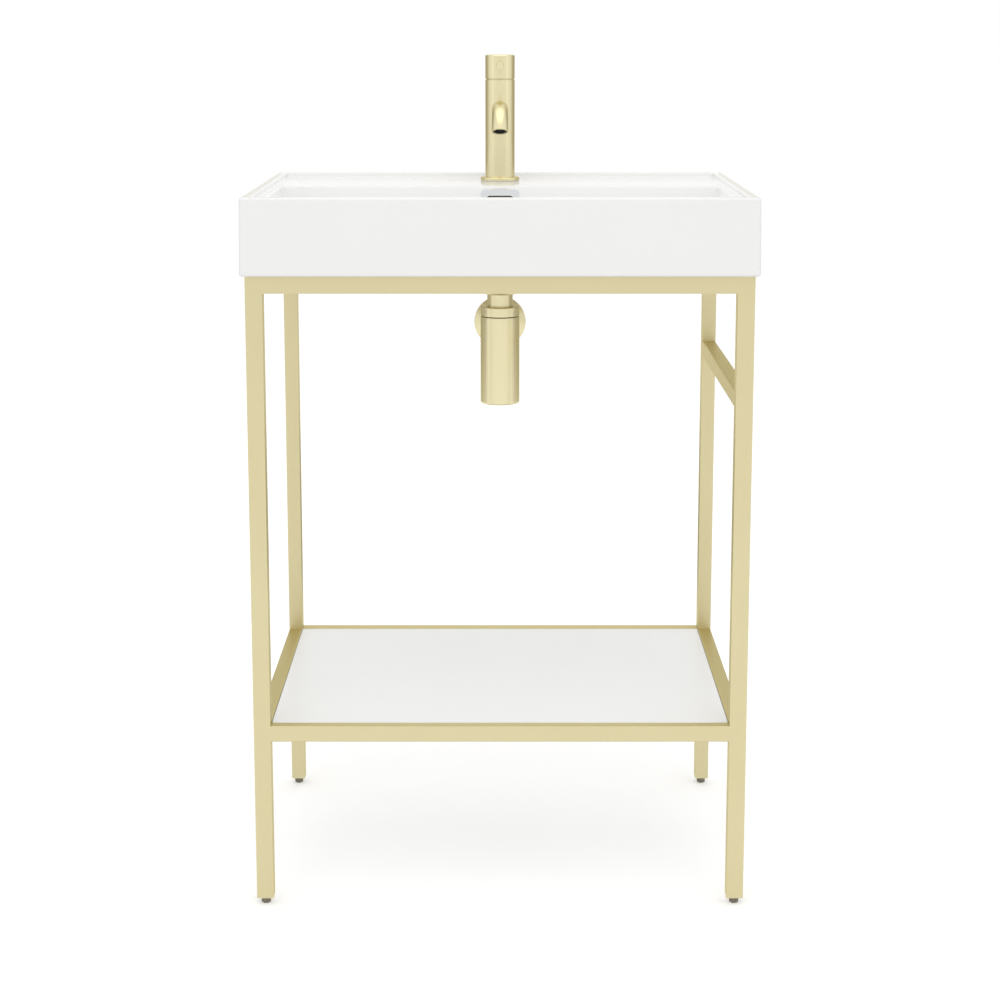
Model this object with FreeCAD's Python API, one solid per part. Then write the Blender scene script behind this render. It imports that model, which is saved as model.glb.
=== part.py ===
"""Console basin: a rectangular ceramic basin on a welded square-tube frame, with its mixer tap,
push-button waste, bottle trap and slatless lower shelf.

Millimetres. +Z is up and the front faces -Y. The origin is on the floor, under the middle of the
basin, so the wall plane is y = basin_depth / 2.
"""
import FreeCAD
import Part
import math
import os

V = FreeCAD.Vector
UP = V(0, 0, 1)
DOWN = V(0, 0, -1)
RIGHT = V(1, 0, 0)
FRONT = V(0, -1, 0)
BACK = V(0, 1, 0)
REACH = 2000.0              # longer than any cut in the model

# ---- frame: welded square tube ----
frame_height = 767.0        # floor to the top of the top rails
side_overhang = 5.0         # basin past the frame, left and right
front_overhang = 14.0       # basin past the frame, in front
wall_gap = 1.0              # frame to the wall
front_leg_width = 20.0
rear_leg_width = 18.0       # also the width of the side rails and the towel rail
leg_depth = 20.0
rail_height = 20.0
cross_rail_depth = 20.0     # top front, top rear and shelf rear rails, front to back
shelf_front_rail_depth = 14.0
tube_wall = 1.5
tube_edge = 1.75            # outside corner radius of every tube
leg_end_plate = 2.0         # welded plate that closes each end of a leg
shelf_height = 226.5        # floor to the top of the shelf rails
towel_rail_height = 630.5   # floor to the top of the towel rail
wall_screw_spacing = 400.0
wall_screw_hole = 6.5

# ---- levelling feet ----
foot_height = 8.4           # head that shows below the leg
foot_diameter = 11.5
foot_chamfer = 1.4
foot_stud_diameter = 8.0
foot_stud_length = 30.0
foot_bush_diameter = 13.0
foot_bush_height = 12.0

# ---- shelf ----
shelf_thickness = 15.0
shelf_gap = 0.5             # board to the rails around it
tab_length = 30.0
tab_reach = 24.0
tab_thickness = 2.0
tab_inset = 60.0            # end of a side rail to the near end of a tab
shelf_screw_diameter = 4.0
shelf_screw_grip = 9.0      # how far a screw goes into the board
screw_head_diameter = 8.0
screw_head_height = 2.4

# ---- basin ----
basin_width = 600.0
basin_depth = 460.0
basin_height = 90.5
basin_draft = 1.4           # each free side leans in by this much at the top
basin_corner = 4.0          # radius of the upright corners
rim_round = 2.2             # rounding of the rim's outer edge
rim_width = 12.6
deck_drop = 6.3             # rim top down to the tap deck
ledge_width = 8.0           # narrow ledge round the front and sides of the bowl
tap_to_bowl = 93.0          # tap's axis to the bowl's back edge
bowl_depth = 72.2           # tap deck down to the bowl's floor
bowl_side_slope = 24.0      # degrees from upright, left and right walls
bowl_end_slope = 9.0        # degrees from upright, front and back walls
bowl_corner = 22.0          # radius of the bowl's upright corners
bowl_floor_round = 16.0     # wall to floor
floor_fall = 4.0            # floor down to the waste
fall_radius = 95.0          # how far round the waste the floor falls
floor_thickness = 18.0
belly_side_inset = 40.0     # bowl's top edge to the hanging belly, left and right
belly_front_inset = 15.0    # the same in front
deck_thickness = 10.0
foot_land = 36.0            # flat bottom of the basin's sides
rear_land = 24.0            # flat bottom of the basin's back
pocket_wall = 30.0          # ceramic behind the bowl, which holds the overflow duct
pad_thickness = 1.0         # silicone pads between frame and basin
pad_length = 30.0
pad_width = 8.0
tap_hole_diameter = 35.0
waste_hole_diameter = 45.0
waste_to_bowl_back = 56.0   # centre of the waste to the bowl's top back edge

# ---- overflow ----
overflow_drop = 16.0        # tap deck down to the middle of the overflow, along the wall
trim_width = 48.5
trim_height = 24.0
trim_thickness = 1.6
trim_corner = 7.0
slot_width = 32.0
slot_height = 6.0
trim_sleeve_wall = 1.2
trim_sleeve_length = 7.0
duct_width = 40.0
duct_depth = 8.0
duct_wall = 7.0             # bowl to duct

# ---- waste ----
waste_flange_diameter = 63.0
waste_flange_thickness = 2.5
waste_gasket_thickness = 1.5
recess_gap = 0.5            # waste's flange to the edge of its recess
waste_thread_diameter = 41.9
waste_bore_diameter = 35.0
waste_tail_length = 42.0    # flange down to the end of the thread
waste_window_width = 14.0
backnut_diameter = 56.0
backnut_height = 8.0
backnut_washer_thickness = 4.0
plug_diameter = 60.0
plug_thickness = 5.0
plug_lift = 8.0
plug_stem_diameter = 8.0
click_sleeve_diameter = 15.0
click_sleeve_length = 19.0
spider_thickness = 3.0
spider_bar = 6.0
spring_wire = 0.9
spring_diameter = 12.2      # outside
spring_turns = 5

# ---- bottle trap ----
pipe_diameter = 32.0
pipe_wall = 1.5
coupling_nut_diameter = 48.0
coupling_nut_height = 20.0
coupling_nut_mouth = 40.0   # lower end of the nut, past its shoulder
coupling_shoulder = 6.0     # nut material below the pipe's collar
collar_thickness = 3.0
collar_diameter = 39.0
trap_washer_thickness = 3.0
trap_diameter = 49.0
trap_wall = 2.0
pipe_to_cap = 15.8          # coupling nut down to the trap's cap
trap_cap_height = 11.6
trap_groove = 1.0
trap_body_height = 110.5
trap_bottom_round = 3.0
trap_cap_roof = 3.0
trap_neck_wall = 2.0
trap_seal_thickness = 1.6
dip_clearance = 20.0        # end of the dip pipe to the trap's floor
outlet_drop = 38.5          # groove down to the outlet's axis
outlet_socket_diameter = 38.0
outlet_channel_diameter = 30.0
outlet_socket_reach = 30.0
outlet_pipe_grip = 16.0     # outlet pipe inside the trap's socket
outlet_nut_end = 4.0        # nut past the end of the socket
outlet_nut_diameter = 44.0
outlet_nut_length = 18.0
wall_flange_diameter = 70.0
wall_flange_thickness = 7.0
wall_flange_edge = 2.0

# ---- mixer tap ----
tap_to_wall = 80.0
tap_diameter = 38.4
tap_flange_diameter = 50.7
tap_flange_height = 4.7
tap_gasket_thickness = 0.8
tap_joint_height = 131.3    # deck to the top of the fixed body
handle_gap = 1.2            # the shadow line between body and handle
groove_depth = 1.2          # how far the shadow line goes in
groove_clearance = 0.2      # bottom of the shadow line to the handle
handle_height = 30.8
tap_edge = 0.8
handle_edge = 2.0
shank_diameter = 34.0
shank_bore = 30.0
shank_grip = 16.0           # thread inside the body
shank_length = 54.0
body_bore = 32.0
inlet_height = 72.0         # deck to the mouths of the water inlets
inlet_diameter = 8.92       # core of an M10 fine thread
inlet_depth = 12.0
inlet_spread = 6.5          # each side of the tap's centre
inlet_setback = 2.0
waterway_diameter = 6.0       # mixed water, up the middle to the spout
inlet_way_diameter = 8.6      # from each inlet up to the cartridge
shank_washer_diameter = 50.0
rubber_washer_thickness = 3.0
steel_washer_thickness = 2.0
shank_nut_width = 42.0      # across flats
shank_nut_height = 9.0

# ---- spout ----
spout_height = 93.8         # deck to the spout's axis
spout_diameter = 21.0
spout_bore = 13.0
spout_reach = 110.0         # tap axis to the middle of the outlet
spout_bend_radius = 32.0
spout_turn = 66.6           # degrees from level
spout_tip_length = 6.4
spout_spigot = 8.0          # length inside the body
aerator_diameter = 17.2
aerator_length = 10.0
aerator_wall = 2.0
aerator_recess = 0.8
aerator_plate = 2.0

# ---- cartridge and handle ----
cartridge_diameter = 28.0
cartridge_height = 12.0
cartridge_floor = 2.0
carrier_diameter = 16.0
carrier_above_joint = 6.5
carrier_slot_depth = 16.0
cartridge_nut_diameter = 32.0
cartridge_nut_grip = 9.5
cartridge_nut_rise = 4.5
cartridge_nut_neck = 26.0
pivot_above_joint = 0.5
pivot_pin_diameter = 3.0
stem_diameter = 8.0
stem_below_pivot = 7.0
handle_wall = 2.7
handle_roof = 5.0
boss_diameter = 14.0
boss_length = 14.5
boss_overlap = 9.0          # stem inside the handle's boss
lift_angle = 18.0           # degrees from closed to full flow
lift_relief = 1.5           # extra angle cut under the handle's rear edge
lever_diameter = 10.0
lever_length = 38.0         # past the handle
lever_seat = 2.2            # spotface depth in the handle
lever_spigot_diameter = 6.0
lever_spigot_length = 12.0
lever_height = 17.0         # handle's lower edge to the lever's axis
lever_edge = 0.8
grub_diameter = 4.0
grub_length = 6.0

# ---- clearances ----
running = 0.05              # radial play of a moving shaft
seat = 0.1                  # moving piece to the stop it rests on

# ---- places worked out from the sizes ----
wall_y = basin_depth / 2
front_y = -basin_depth / 2
frame_front = front_y + front_overhang
frame_rear = wall_y - wall_gap
leg_back_of_front = frame_front + leg_depth
leg_front_of_rear = frame_rear - leg_depth
frame_half = basin_width / 2 - side_overhang
inner_half = frame_half - front_leg_width
rear_half = inner_half + rear_leg_width
shelf_base = shelf_height - shelf_thickness
rail_base = frame_height - rail_height

basin_base = frame_height + pad_thickness
rim_z = basin_base + basin_height
deck_z = rim_z - deck_drop
tray_half = basin_width / 2 - basin_draft - rim_width
tray_front = front_y + basin_draft + rim_width
tray_back = wall_y - rim_width
bowl_half = tray_half - ledge_width
bowl_front = tray_front + ledge_width
bowl_back = wall_y - tap_to_wall - tap_to_bowl
floor_z = deck_z - bowl_depth
waste_y = bowl_back - waste_to_bowl_back
waste_z = floor_z - floor_fall
belly_z = waste_z - floor_thickness
pocket_front = bowl_back + pocket_wall
pocket_back = wall_y - rear_land
pocket_half = basin_width / 2 - foot_land
deck_underside = deck_z - deck_thickness

tap_y = wall_y - tap_to_wall
tap_base = deck_z + tap_gasket_thickness
joint_z = deck_z + tap_joint_height
handle_z = joint_z + handle_gap
pivot_z = joint_z + pivot_above_joint
inlet_z = deck_z + inlet_height
nut_seat_z = joint_z - cartridge_nut_grip
cartridge_z = nut_seat_z - cartridge_height
spout_z = deck_z + spout_height

flange_base = waste_z - waste_flange_thickness + 1.5
tail_end = flange_base - waste_tail_length
collar_top = tail_end - trap_washer_thickness
coupling_base = collar_top - collar_thickness - coupling_shoulder
cap_top = coupling_base - pipe_to_cap
cap_base = cap_top - trap_cap_height
trap_top = cap_base - trap_groove
trap_base = trap_top - trap_body_height
outlet_z = cap_base - outlet_drop
neck_top = cap_top - trap_cap_roof - trap_seal_thickness


# ---- shapes ----
def cylinder(diameter, length, base, direction=UP):
    return Part.makeCylinder(diameter / 2, length, base, direction)


def ring(outside, inside, length, base, direction=UP):
    return cylinder(outside, length, base, direction).cut(cylinder(inside, length, base, direction))


def box(x0, x1, y0, y1, z0, z1):
    return Part.makeBox(x1 - x0, y1 - y0, z1 - z0, V(x0, y0, z0))


def rounded_wire(corners, place):
    """Closed wire through corners (u, v, radius); each corner turns on a tangent arc of its radius."""
    arcs = []
    for i, (u, v, radius) in enumerate(corners):
        here = V(u, v, 0)
        before = V(*corners[i - 1][:2], 0) - here
        after = V(*corners[(i + 1) % len(corners)][:2], 0) - here
        before.normalize()
        after.normalize()
        half = before.getAngle(after) / 2
        reach = radius / math.tan(half)
        middle = (before + after).normalize() * (radius / math.sin(half) - radius)
        arcs.append((here + before * reach, here + middle, here + after * reach, radius))
    edges = []
    for i, (start, middle, end, radius) in enumerate(arcs):
        if radius > 0:
            points = [place(p.x, p.y) for p in (start, middle, end)]
            edges.append(Part.Arc(*points).toShape())
        following = arcs[(i + 1) % len(arcs)][0]
        if (following - end).Length > 1e-6:
            edges.append(Part.makeLine(place(end.x, end.y), place(following.x, following.y)))
    return Part.Wire(edges)


def turned(corners, base, direction=UP):
    """Solid turned about a line from base along direction; corners are (radius, height, rounding)."""
    face = Part.Face(rounded_wire(corners, lambda u, v: V(u, 0, v)))
    solid = face.revolve(V(0, 0, 0), UP, 360)
    solid.Placement = FreeCAD.Placement(base, FreeCAD.Rotation(UP, direction))
    return solid


def level_rectangle(x_half, y0, y1, z, radius):
    corners = [(-x_half, y0, radius), (x_half, y0, radius), (x_half, y1, radius), (-x_half, y1, radius)]
    return rounded_wire(corners, lambda u, v: V(u, v, z))


def hexagon(across_flats, length, base):
    radius = across_flats / math.sqrt(3)
    points = [V(radius * math.cos(k * math.pi / 3), radius * math.sin(k * math.pi / 3), 0) for k in range(7)]
    solid = Part.Face(Part.makePolygon(points)).extrude(V(0, 0, length))
    solid.translate(base)
    return solid


def along(edge, direction):
    """True where an edge is straight and parallel to direction."""
    if not isinstance(edge.Curve, (Part.Line, Part.LineSegment)):
        return False
    return abs(edge.tangentAt(edge.FirstParameter).dot(direction)) > 0.999


def bar(x0, x1, y0, y1, z0, z1, direction, radius):
    """Box whose edges along direction are rounded; with no direction, all of them are."""
    solid = box(x0, x1, y0, y1, z0, z1)
    edges = [e for e in solid.Edges if direction is None or along(e, direction)]
    return solid.makeFillet(radius, edges)


def open_tube(x0, x1, y0, y1, z0, z1, direction):
    """Square tube along X or Y with open ends and rounded long edges."""
    outside = bar(x0, x1, y0, y1, z0, z1, direction, tube_edge)
    across_x = 0 if direction is RIGHT else tube_wall
    across_y = 0 if direction is BACK else tube_wall
    inner_edge = max(tube_edge - tube_wall, 0.2)
    inside = bar(
        x0 + across_x, x1 - across_x, y0 + across_y, y1 - across_y,
        z0 + tube_wall, z1 - tube_wall, direction, inner_edge,
    )
    return outside.cut(inside)


def centre(side, y0, y1, width):
    """Middle of a leg: side is -1 on the left and 1 on the right."""
    return V(side * (inner_half + width / 2), (y0 + y1) / 2, 0)


# ---- frame ----
def leg(side, y0, y1, width):
    x0, x1 = sorted((side * inner_half, side * (inner_half + width)))
    outside = bar(x0, x1, y0, y1, foot_height, frame_height, None, tube_edge)
    inside = box(
        x0 + tube_wall, x1 - tube_wall, y0 + tube_wall, y1 - tube_wall,
        foot_height + leg_end_plate, frame_height - leg_end_plate,
    )
    hole = cylinder(
        foot_stud_diameter + 2 * running, leg_end_plate + 1,
        centre(side, y0, y1, width) + V(0, 0, foot_height - 0.5),
    )
    return outside.cut(inside).cut(hole)


def legs():
    """Name, side, front face, back face and width of each leg."""
    rows = []
    for word, side in (("left", -1), ("right", 1)):
        rows.append((f"front_{word}", side, frame_front, leg_back_of_front, front_leg_width))
        rows.append((f"rear_{word}", side, leg_front_of_rear, frame_rear, rear_leg_width))
    return rows


def cross_rail(y0, y1, top):
    return open_tube(-inner_half, inner_half, y0, y1, top - rail_height, top, RIGHT)


def side_rail(side, top):
    x0, x1 = sorted((side * inner_half, side * rear_half))
    return open_tube(x0, x1, leg_back_of_front, leg_front_of_rear, top - rail_height, top, BACK)


def rear_top_rail():
    """Rear top rail with the two holes for the wall screws."""
    rail = cross_rail(frame_rear - cross_rail_depth, frame_rear, frame_height)
    for side in (-1, 1):
        start = V(side * wall_screw_spacing / 2, frame_rear - cross_rail_depth - 1, frame_height - rail_height / 2)
        rail = rail.cut(cylinder(wall_screw_hole, cross_rail_depth + 2, start, BACK))
    return rail


def foot_bush(side, y0, y1, width):
    base = centre(side, y0, y1, width) + V(0, 0, foot_height + leg_end_plate)
    return ring(foot_bush_diameter, foot_stud_diameter + 2 * running, foot_bush_height, base)


def foot(side, y0, y1, width):
    """Levelling foot: a round head and the stud that screws up into the leg."""
    radius = foot_diameter / 2
    stud = foot_stud_diameter / 2
    top = foot_height - seat
    corners = [
        (0, 0, 0), (radius - foot_chamfer, 0, 0), (radius, foot_chamfer, 0), (radius, top, 0.4),
        (stud, top, 0), (stud, top + foot_stud_length - 1, 0), (stud - 1, top + foot_stud_length, 0),
        (0, top + foot_stud_length, 0),
    ]
    return turned(corners, centre(side, y0, y1, width))


# ---- shelf ----
def tab_places():
    """Side and near end of each tab that carries the shelf."""
    near = leg_back_of_front + tab_inset
    far = leg_front_of_rear - tab_inset - tab_length
    return [(side, y) for side in (-1, 1) for y in (near, far)]


def tab(side, y):
    x0, x1 = sorted((side * inner_half, side * (inner_half - tab_reach)))
    plate = box(x0, x1, y, y + tab_length, shelf_base - tab_thickness, shelf_base)
    return plate.cut(cylinder(shelf_screw_diameter, tab_thickness, screw_place(side, y)))


def screw_place(side, y):
    return V(side * (inner_half - tab_reach / 2), y + tab_length / 2, shelf_base - tab_thickness)


def shelf_screw(side, y):
    place = screw_place(side, y)
    head = cylinder(screw_head_diameter, screw_head_height, place, DOWN)
    return head.fuse(cylinder(shelf_screw_diameter, tab_thickness + shelf_screw_grip, place)).removeSplitter()


def shelf_board():
    board = bar(
        -inner_half + shelf_gap, inner_half - shelf_gap,
        frame_front + shelf_front_rail_depth + shelf_gap, frame_rear - cross_rail_depth - shelf_gap,
        shelf_base, shelf_height, None, 0.6,
    )
    for side, y in tab_places():
        board = board.cut(shelf_screw(side, y))
    return board


# ---- basin ----
def bowl_section(depth):
    """Level outline of the bowl at a depth below the deck; it rounds in towards the floor."""
    side = depth * math.tan(math.radians(bowl_side_slope))
    end = depth * math.tan(math.radians(bowl_end_slope))
    into_round = min(max(0.0, depth - (bowl_depth - bowl_floor_round)), bowl_floor_round)
    inward = bowl_floor_round - math.sqrt(bowl_floor_round ** 2 - into_round ** 2)
    return level_rectangle(
        bowl_half - side - inward, bowl_front + end + inward, bowl_back - end - inward,
        deck_z - depth, bowl_corner,
    )


def bowl_space():
    straight = Part.makeLoft([bowl_section(0), bowl_section(bowl_depth - bowl_floor_round)], True, True)
    steps = [math.sin(math.radians(a)) for a in (0, 18, 36, 54, 72, 90)]
    depths = [bowl_depth - bowl_floor_round * (1 - s) for s in steps]
    rounded = Part.makeLoft([bowl_section(min(d, bowl_depth)) for d in depths], True, True)
    fall = Part.makeCone(
        waste_flange_diameter / 2, fall_radius, floor_fall, V(0, waste_y, waste_z), UP)
    return straight.fuse(rounded).fuse(fall)


def outer_block():
    """Outside of the basin: its front and sides lean in a little, its back is upright."""
    half = basin_width / 2
    wedge = Part.makeWedge(
        -half, basin_base, -wall_y, -wall_y, basin_draft - half,
        half, rim_z, -front_y, -front_y - basin_draft, half - basin_draft,
    )
    wedge.rotate(V(0, 0, 0), RIGHT, 90)
    upright = [e for e in wedge.Edges if e.BoundBox.ZLength > basin_height - 1]
    block = wedge.makeFillet(basin_corner, upright)
    rim = [e for e in block.Edges if e.BoundBox.ZMin > rim_z - 0.01]
    return block.makeFillet(rim_round, rim)


def belly():
    """The thick floor under the bowl, which hangs a little inside the frame."""
    wire = level_rectangle(
        bowl_half - belly_side_inset, bowl_front + belly_front_inset, bowl_back + duct_wall + duct_depth,
        belly_z, bowl_corner,
    )
    return Part.Face(wire).extrude(V(0, 0, floor_z - belly_z))


def wall_place(drop):
    """Placement on the bowl's back wall: x across, y up the wall, z out of it."""
    slope = math.radians(bowl_end_slope)
    point = V(0, bowl_back - drop * math.sin(slope), deck_z - drop * math.cos(slope))
    return FreeCAD.Placement(point, FreeCAD.Rotation(RIGHT, 90 - bowl_end_slope))


def flat_slot(width, height, radius, z0, z1):
    corners = [
        (-width / 2, -height / 2, radius), (width / 2, -height / 2, radius),
        (width / 2, height / 2, radius), (-width / 2, height / 2, radius),
    ]
    face = Part.Face(rounded_wire(corners, lambda u, v: V(u, v, z0)))
    return face.extrude(V(0, 0, z1 - z0))


def on_back_wall(solid):
    solid.Placement = wall_place(overflow_drop)
    return solid


def overflow_hole():
    width = slot_width + 2 * trim_sleeve_wall
    height = slot_height + 2 * trim_sleeve_wall
    return on_back_wall(flat_slot(width, height, height / 2 - 0.01, -duct_wall - duct_depth, 1))


def duct():
    """Overflow duct: down behind the bowl, then forward under its floor to the waste hole."""
    half = duct_width / 2
    y0 = bowl_back + duct_wall - duct_depth / 2
    top = deck_z - overflow_drop + slot_height
    down = box(-half, half, y0, y0 + duct_depth, belly_z + 6, top)
    forward = box(-half, half, waste_y, y0 + duct_depth, belly_z + 6, belly_z + 12)
    return down.fuse(forward)


def basin():
    block = outer_block().fuse(belly())
    tray = Part.Face(level_rectangle(tray_half, tray_front, tray_back, deck_z, basin_corner + 2))
    block = block.cut(tray.extrude(V(0, 0, deck_drop + 1)))
    block = block.cut(bowl_space())
    pocket = Part.Face(level_rectangle(pocket_half, pocket_front, pocket_back, basin_base - 1, 8.0))
    block = block.cut(pocket.extrude(V(0, 0, deck_underside - basin_base + 1)))
    block = block.cut(cylinder(tap_hole_diameter, deck_thickness + 2, V(0, tap_y, deck_underside - 1)))
    block = block.cut(duct()).cut(overflow_hole())
    block = block.cut(cylinder(waste_hole_diameter, bowl_depth, V(0, waste_y, belly_z - 1)))
    recess_base = V(0, waste_y, flange_base - waste_gasket_thickness)
    recess = cylinder(waste_flange_diameter + 2 * recess_gap, bowl_depth, recess_base)
    return block.cut(recess)


def overflow_trim():
    sleeve_width = slot_width + 2 * trim_sleeve_wall
    sleeve_height = slot_height + 2 * trim_sleeve_wall
    plate = flat_slot(trim_width, trim_height, trim_corner, 0, trim_thickness)
    face_edges = [e for e in plate.Edges if e.BoundBox.ZMin > trim_thickness - 0.01]
    plate = plate.makeFillet(0.8, face_edges)
    sleeve = flat_slot(sleeve_width, sleeve_height, sleeve_height / 2 - 0.01, -trim_sleeve_length, 0)
    slot = flat_slot(slot_width, slot_height, slot_height / 2 - 0.01, -trim_sleeve_length - 1, trim_thickness + 1)
    return on_back_wall(plate.fuse(sleeve).removeSplitter().cut(slot))


def pads():
    """Silicone pads: two on the front rail, two on the rear rail and one on each side rail."""
    top_front = frame_front + cross_rail_depth / 2
    top_rear = frame_rear - cross_rail_depth / 2
    side_x = (inner_half + rear_half) / 2
    middle = (leg_back_of_front + leg_front_of_rear) / 2
    places = [(side * inner_half * 0.75, y, pad_length, pad_width) for side in (-1, 1) for y in (top_front, top_rear)]
    places += [(side * side_x, middle, pad_width, pad_length) for side in (-1, 1)]
    return [
        box(x - a / 2, x + a / 2, y - b / 2, y + b / 2, frame_height, basin_base)
        for x, y, a, b in places
    ]


# ---- waste ----
def waste_point(z):
    return V(0, waste_y, z)


def waste_body():
    """Flange, threaded tail with its overflow windows, and the spider that holds the click sleeve."""
    flange = waste_flange_diameter / 2
    tail = waste_thread_diameter / 2
    bore = waste_bore_diameter / 2
    top = waste_flange_thickness
    corners = [
        (bore, -waste_tail_length, 0), (tail, -waste_tail_length, 0.6), (tail, 0, 0), (flange - 3, 0, 0),
        (flange, top - 1, 0.3), (flange, top, 0.3), (bore + 4, top, 1.0), (bore, top - 2, 0),
    ]
    body = turned(corners, waste_point(flange_base))
    for direction in (RIGHT, BACK):
        window = box(
            -REACH if direction is RIGHT else -waste_window_width / 2,
            REACH if direction is RIGHT else waste_window_width / 2,
            waste_y - (waste_window_width / 2 if direction is RIGHT else REACH),
            waste_y + (waste_window_width / 2 if direction is RIGHT else REACH),
            belly_z + 5, belly_z + 11,
        )
        body = body.cut(window)
    base = sleeve_base()
    for x_half, y_half in ((bore + 0.5, spider_bar / 2), (spider_bar / 2, bore + 0.5)):
        strut = box(-x_half, x_half, waste_y - y_half, waste_y + y_half, base, base + spider_thickness)
        body = body.fuse(strut)
    return body.cut(cylinder(click_sleeve_diameter, spider_thickness, waste_point(base))).removeSplitter()


def sleeve_base():
    return tail_end + 2


def waste_gasket():
    return ring(
        waste_flange_diameter - 5, waste_thread_diameter, waste_gasket_thickness,
        waste_point(flange_base - waste_gasket_thickness),
    )


def backnut_washer():
    return ring(
        backnut_diameter - 2, waste_thread_diameter, backnut_washer_thickness,
        waste_point(belly_z - backnut_washer_thickness),
    )


def backnut():
    base = waste_point(belly_z - backnut_washer_thickness - backnut_height)
    return hexagon(backnut_diameter - 4, backnut_height, base).cut(
        cylinder(waste_thread_diameter, backnut_height, base))


def click_sleeve():
    """Fixed sleeve in the middle of the waste that the plug's stem clicks up and down in."""
    stem = plug_stem_diameter / 2 + running
    spring_room = spring_diameter / 2 + 0.2
    outside = click_sleeve_diameter / 2
    corners = [
        (stem, 0, 0), (outside, 0, 0.4), (outside, click_sleeve_length, 0.4),
        (spring_room, click_sleeve_length, 0), (spring_room, 3, 0), (stem, 3, 0),
    ]
    return turned(corners, waste_point(sleeve_base()))


def spring_top():
    return sleeve_base() + click_sleeve_length - 1


def click_spring():
    """Coil spring round the stem, shown closed up with the plug down."""
    base = sleeve_base() + 3 + spring_wire / 2 + 0.1
    height = spring_top() - spring_wire / 2 - 0.1 - base
    radius = (spring_diameter - spring_wire) / 2
    helix = Part.makeHelix(height / spring_turns, height, radius)
    section = Part.Wire(Part.makeCircle(spring_wire / 2, V(radius, 0, 0), BACK))
    coil = Part.Wire(helix).makePipeShell([section], True, True)
    coil.translate(waste_point(base))
    return coil


def waste_plug():
    """Low mushroom cap of the waste, pushed down."""
    radius = plug_diameter / 2
    hub = click_sleeve_diameter / 2
    corners = [
        (0, -5, 0), (hub, -5, 0.4), (hub, 0, 0), (radius, 0, 0.6), (radius, plug_thickness - 2, 2.4),
        (0, plug_thickness, 0),
    ]
    cap = turned(corners, waste_point(plug_base()))
    return cap.cut(cylinder(plug_stem_diameter, 5, waste_point(plug_base() - 5)))


def plug_base():
    return flange_base + waste_flange_thickness + seat


def plug_stem():
    """Stem that joins the plug to the click sleeve, with the shoulder the spring pushes on."""
    stem = cylinder(plug_stem_diameter, plug_base() - sleeve_base() + seat, waste_point(sleeve_base() - seat))
    shoulder = cylinder(spring_diameter, 2, waste_point(spring_top()))
    return stem.fuse(shoulder).removeSplitter()


# ---- bottle trap ----
def coupling_nut():
    """Round nut on the waste's thread; its lower shoulder carries the pipe's collar."""
    outside = coupling_nut_diameter / 2
    mouth = coupling_nut_mouth / 2
    pipe = pipe_diameter / 2
    thread = waste_thread_diameter / 2
    corners = [
        (pipe, 0, 0), (mouth, 0, 1.5), (outside, coupling_shoulder - 1, 2.0), (outside, coupling_nut_height, 0.8),
        (thread, coupling_nut_height, 0), (thread, coupling_shoulder, 0), (pipe, coupling_shoulder, 0),
    ]
    return turned(corners, waste_point(coupling_base))


def trap_washer():
    return ring(waste_thread_diameter - 1, waste_bore_diameter - 3, trap_washer_thickness, waste_point(collar_top))


def inlet_pipe():
    """Pipe from the waste down into the trap, with the collar that the coupling nut lifts."""
    bottom = trap_base + trap_wall + dip_clearance
    inside = pipe_diameter - 2 * pipe_wall
    pipe = cylinder(pipe_diameter, collar_top - bottom, waste_point(bottom))
    collar = cylinder(collar_diameter, collar_thickness, waste_point(collar_top - collar_thickness))
    return pipe.fuse(collar).cut(cylinder(inside, REACH, waste_point(0))).removeSplitter()


def neck_diameter():
    return trap_diameter - 2 * trap_neck_wall


def trap_cap():
    outside = trap_diameter / 2
    pipe = pipe_diameter / 2
    neck = neck_diameter() / 2
    roof = trap_cap_height - trap_cap_roof
    corners = [
        (neck, 0, 0), (outside, 0, 0.3), (outside, trap_cap_height, 1.0), (pipe, trap_cap_height, 0.5),
        (pipe, roof, 0), (neck, roof, 0),
    ]
    return turned(corners, waste_point(cap_base))


def trap_seal():
    return ring(neck_diameter(), pipe_diameter, trap_seal_thickness, waste_point(neck_top))


def trap_body():
    """Bottle of the trap, with the threaded neck under its cap and the outlet socket behind."""
    outside = trap_diameter / 2
    neck = neck_diameter() / 2
    inside = neck - trap_neck_wall
    top = trap_body_height
    rise = neck_top - trap_base
    corners = [
        (0, 0, 0), (outside, 0, trap_bottom_round), (outside, top, 0.3), (neck, top, 0), (neck, rise, 0),
        (inside, rise, 0), (inside, trap_wall, 1.0), (0, trap_wall, 0),
    ]
    bottle = turned(corners, waste_point(trap_base))
    start = waste_point(outlet_z)
    socket = cylinder(outlet_socket_diameter, outside + outlet_socket_reach, start, BACK)
    socket = socket.cut(cylinder(2 * inside + 0.01, REACH, waste_point(trap_base)))
    bottle = bottle.fuse(socket)
    bottle = bottle.cut(cylinder(outlet_channel_diameter, REACH, start, BACK))
    seat = cylinder(pipe_diameter, outlet_pipe_grip, V(0, outlet_pipe_start(), outlet_z), BACK)
    return bottle.cut(seat).removeSplitter()


def outlet_pipe_start():
    """How far back the outlet pipe starts, inside the trap's socket."""
    return waste_y + trap_diameter / 2 + outlet_socket_reach - outlet_pipe_grip


def outlet_nut():
    """Round nut over the end of the socket; its shoulder grips the outlet pipe."""
    outside = outlet_nut_diameter / 2
    pipe = pipe_diameter / 2
    socket = outlet_socket_diameter / 2
    corners = [
        (socket, 0, 0), (outside, 0, 0.8), (outside, outlet_nut_length, 1.6), (pipe, outlet_nut_length, 0),
        (pipe, outlet_nut_length - outlet_nut_end, 0), (socket, outlet_nut_length - outlet_nut_end, 0),
    ]
    start = waste_y + trap_diameter / 2 + outlet_socket_reach - outlet_nut_length + outlet_nut_end
    return turned(corners, V(0, start, outlet_z), BACK)


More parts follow.
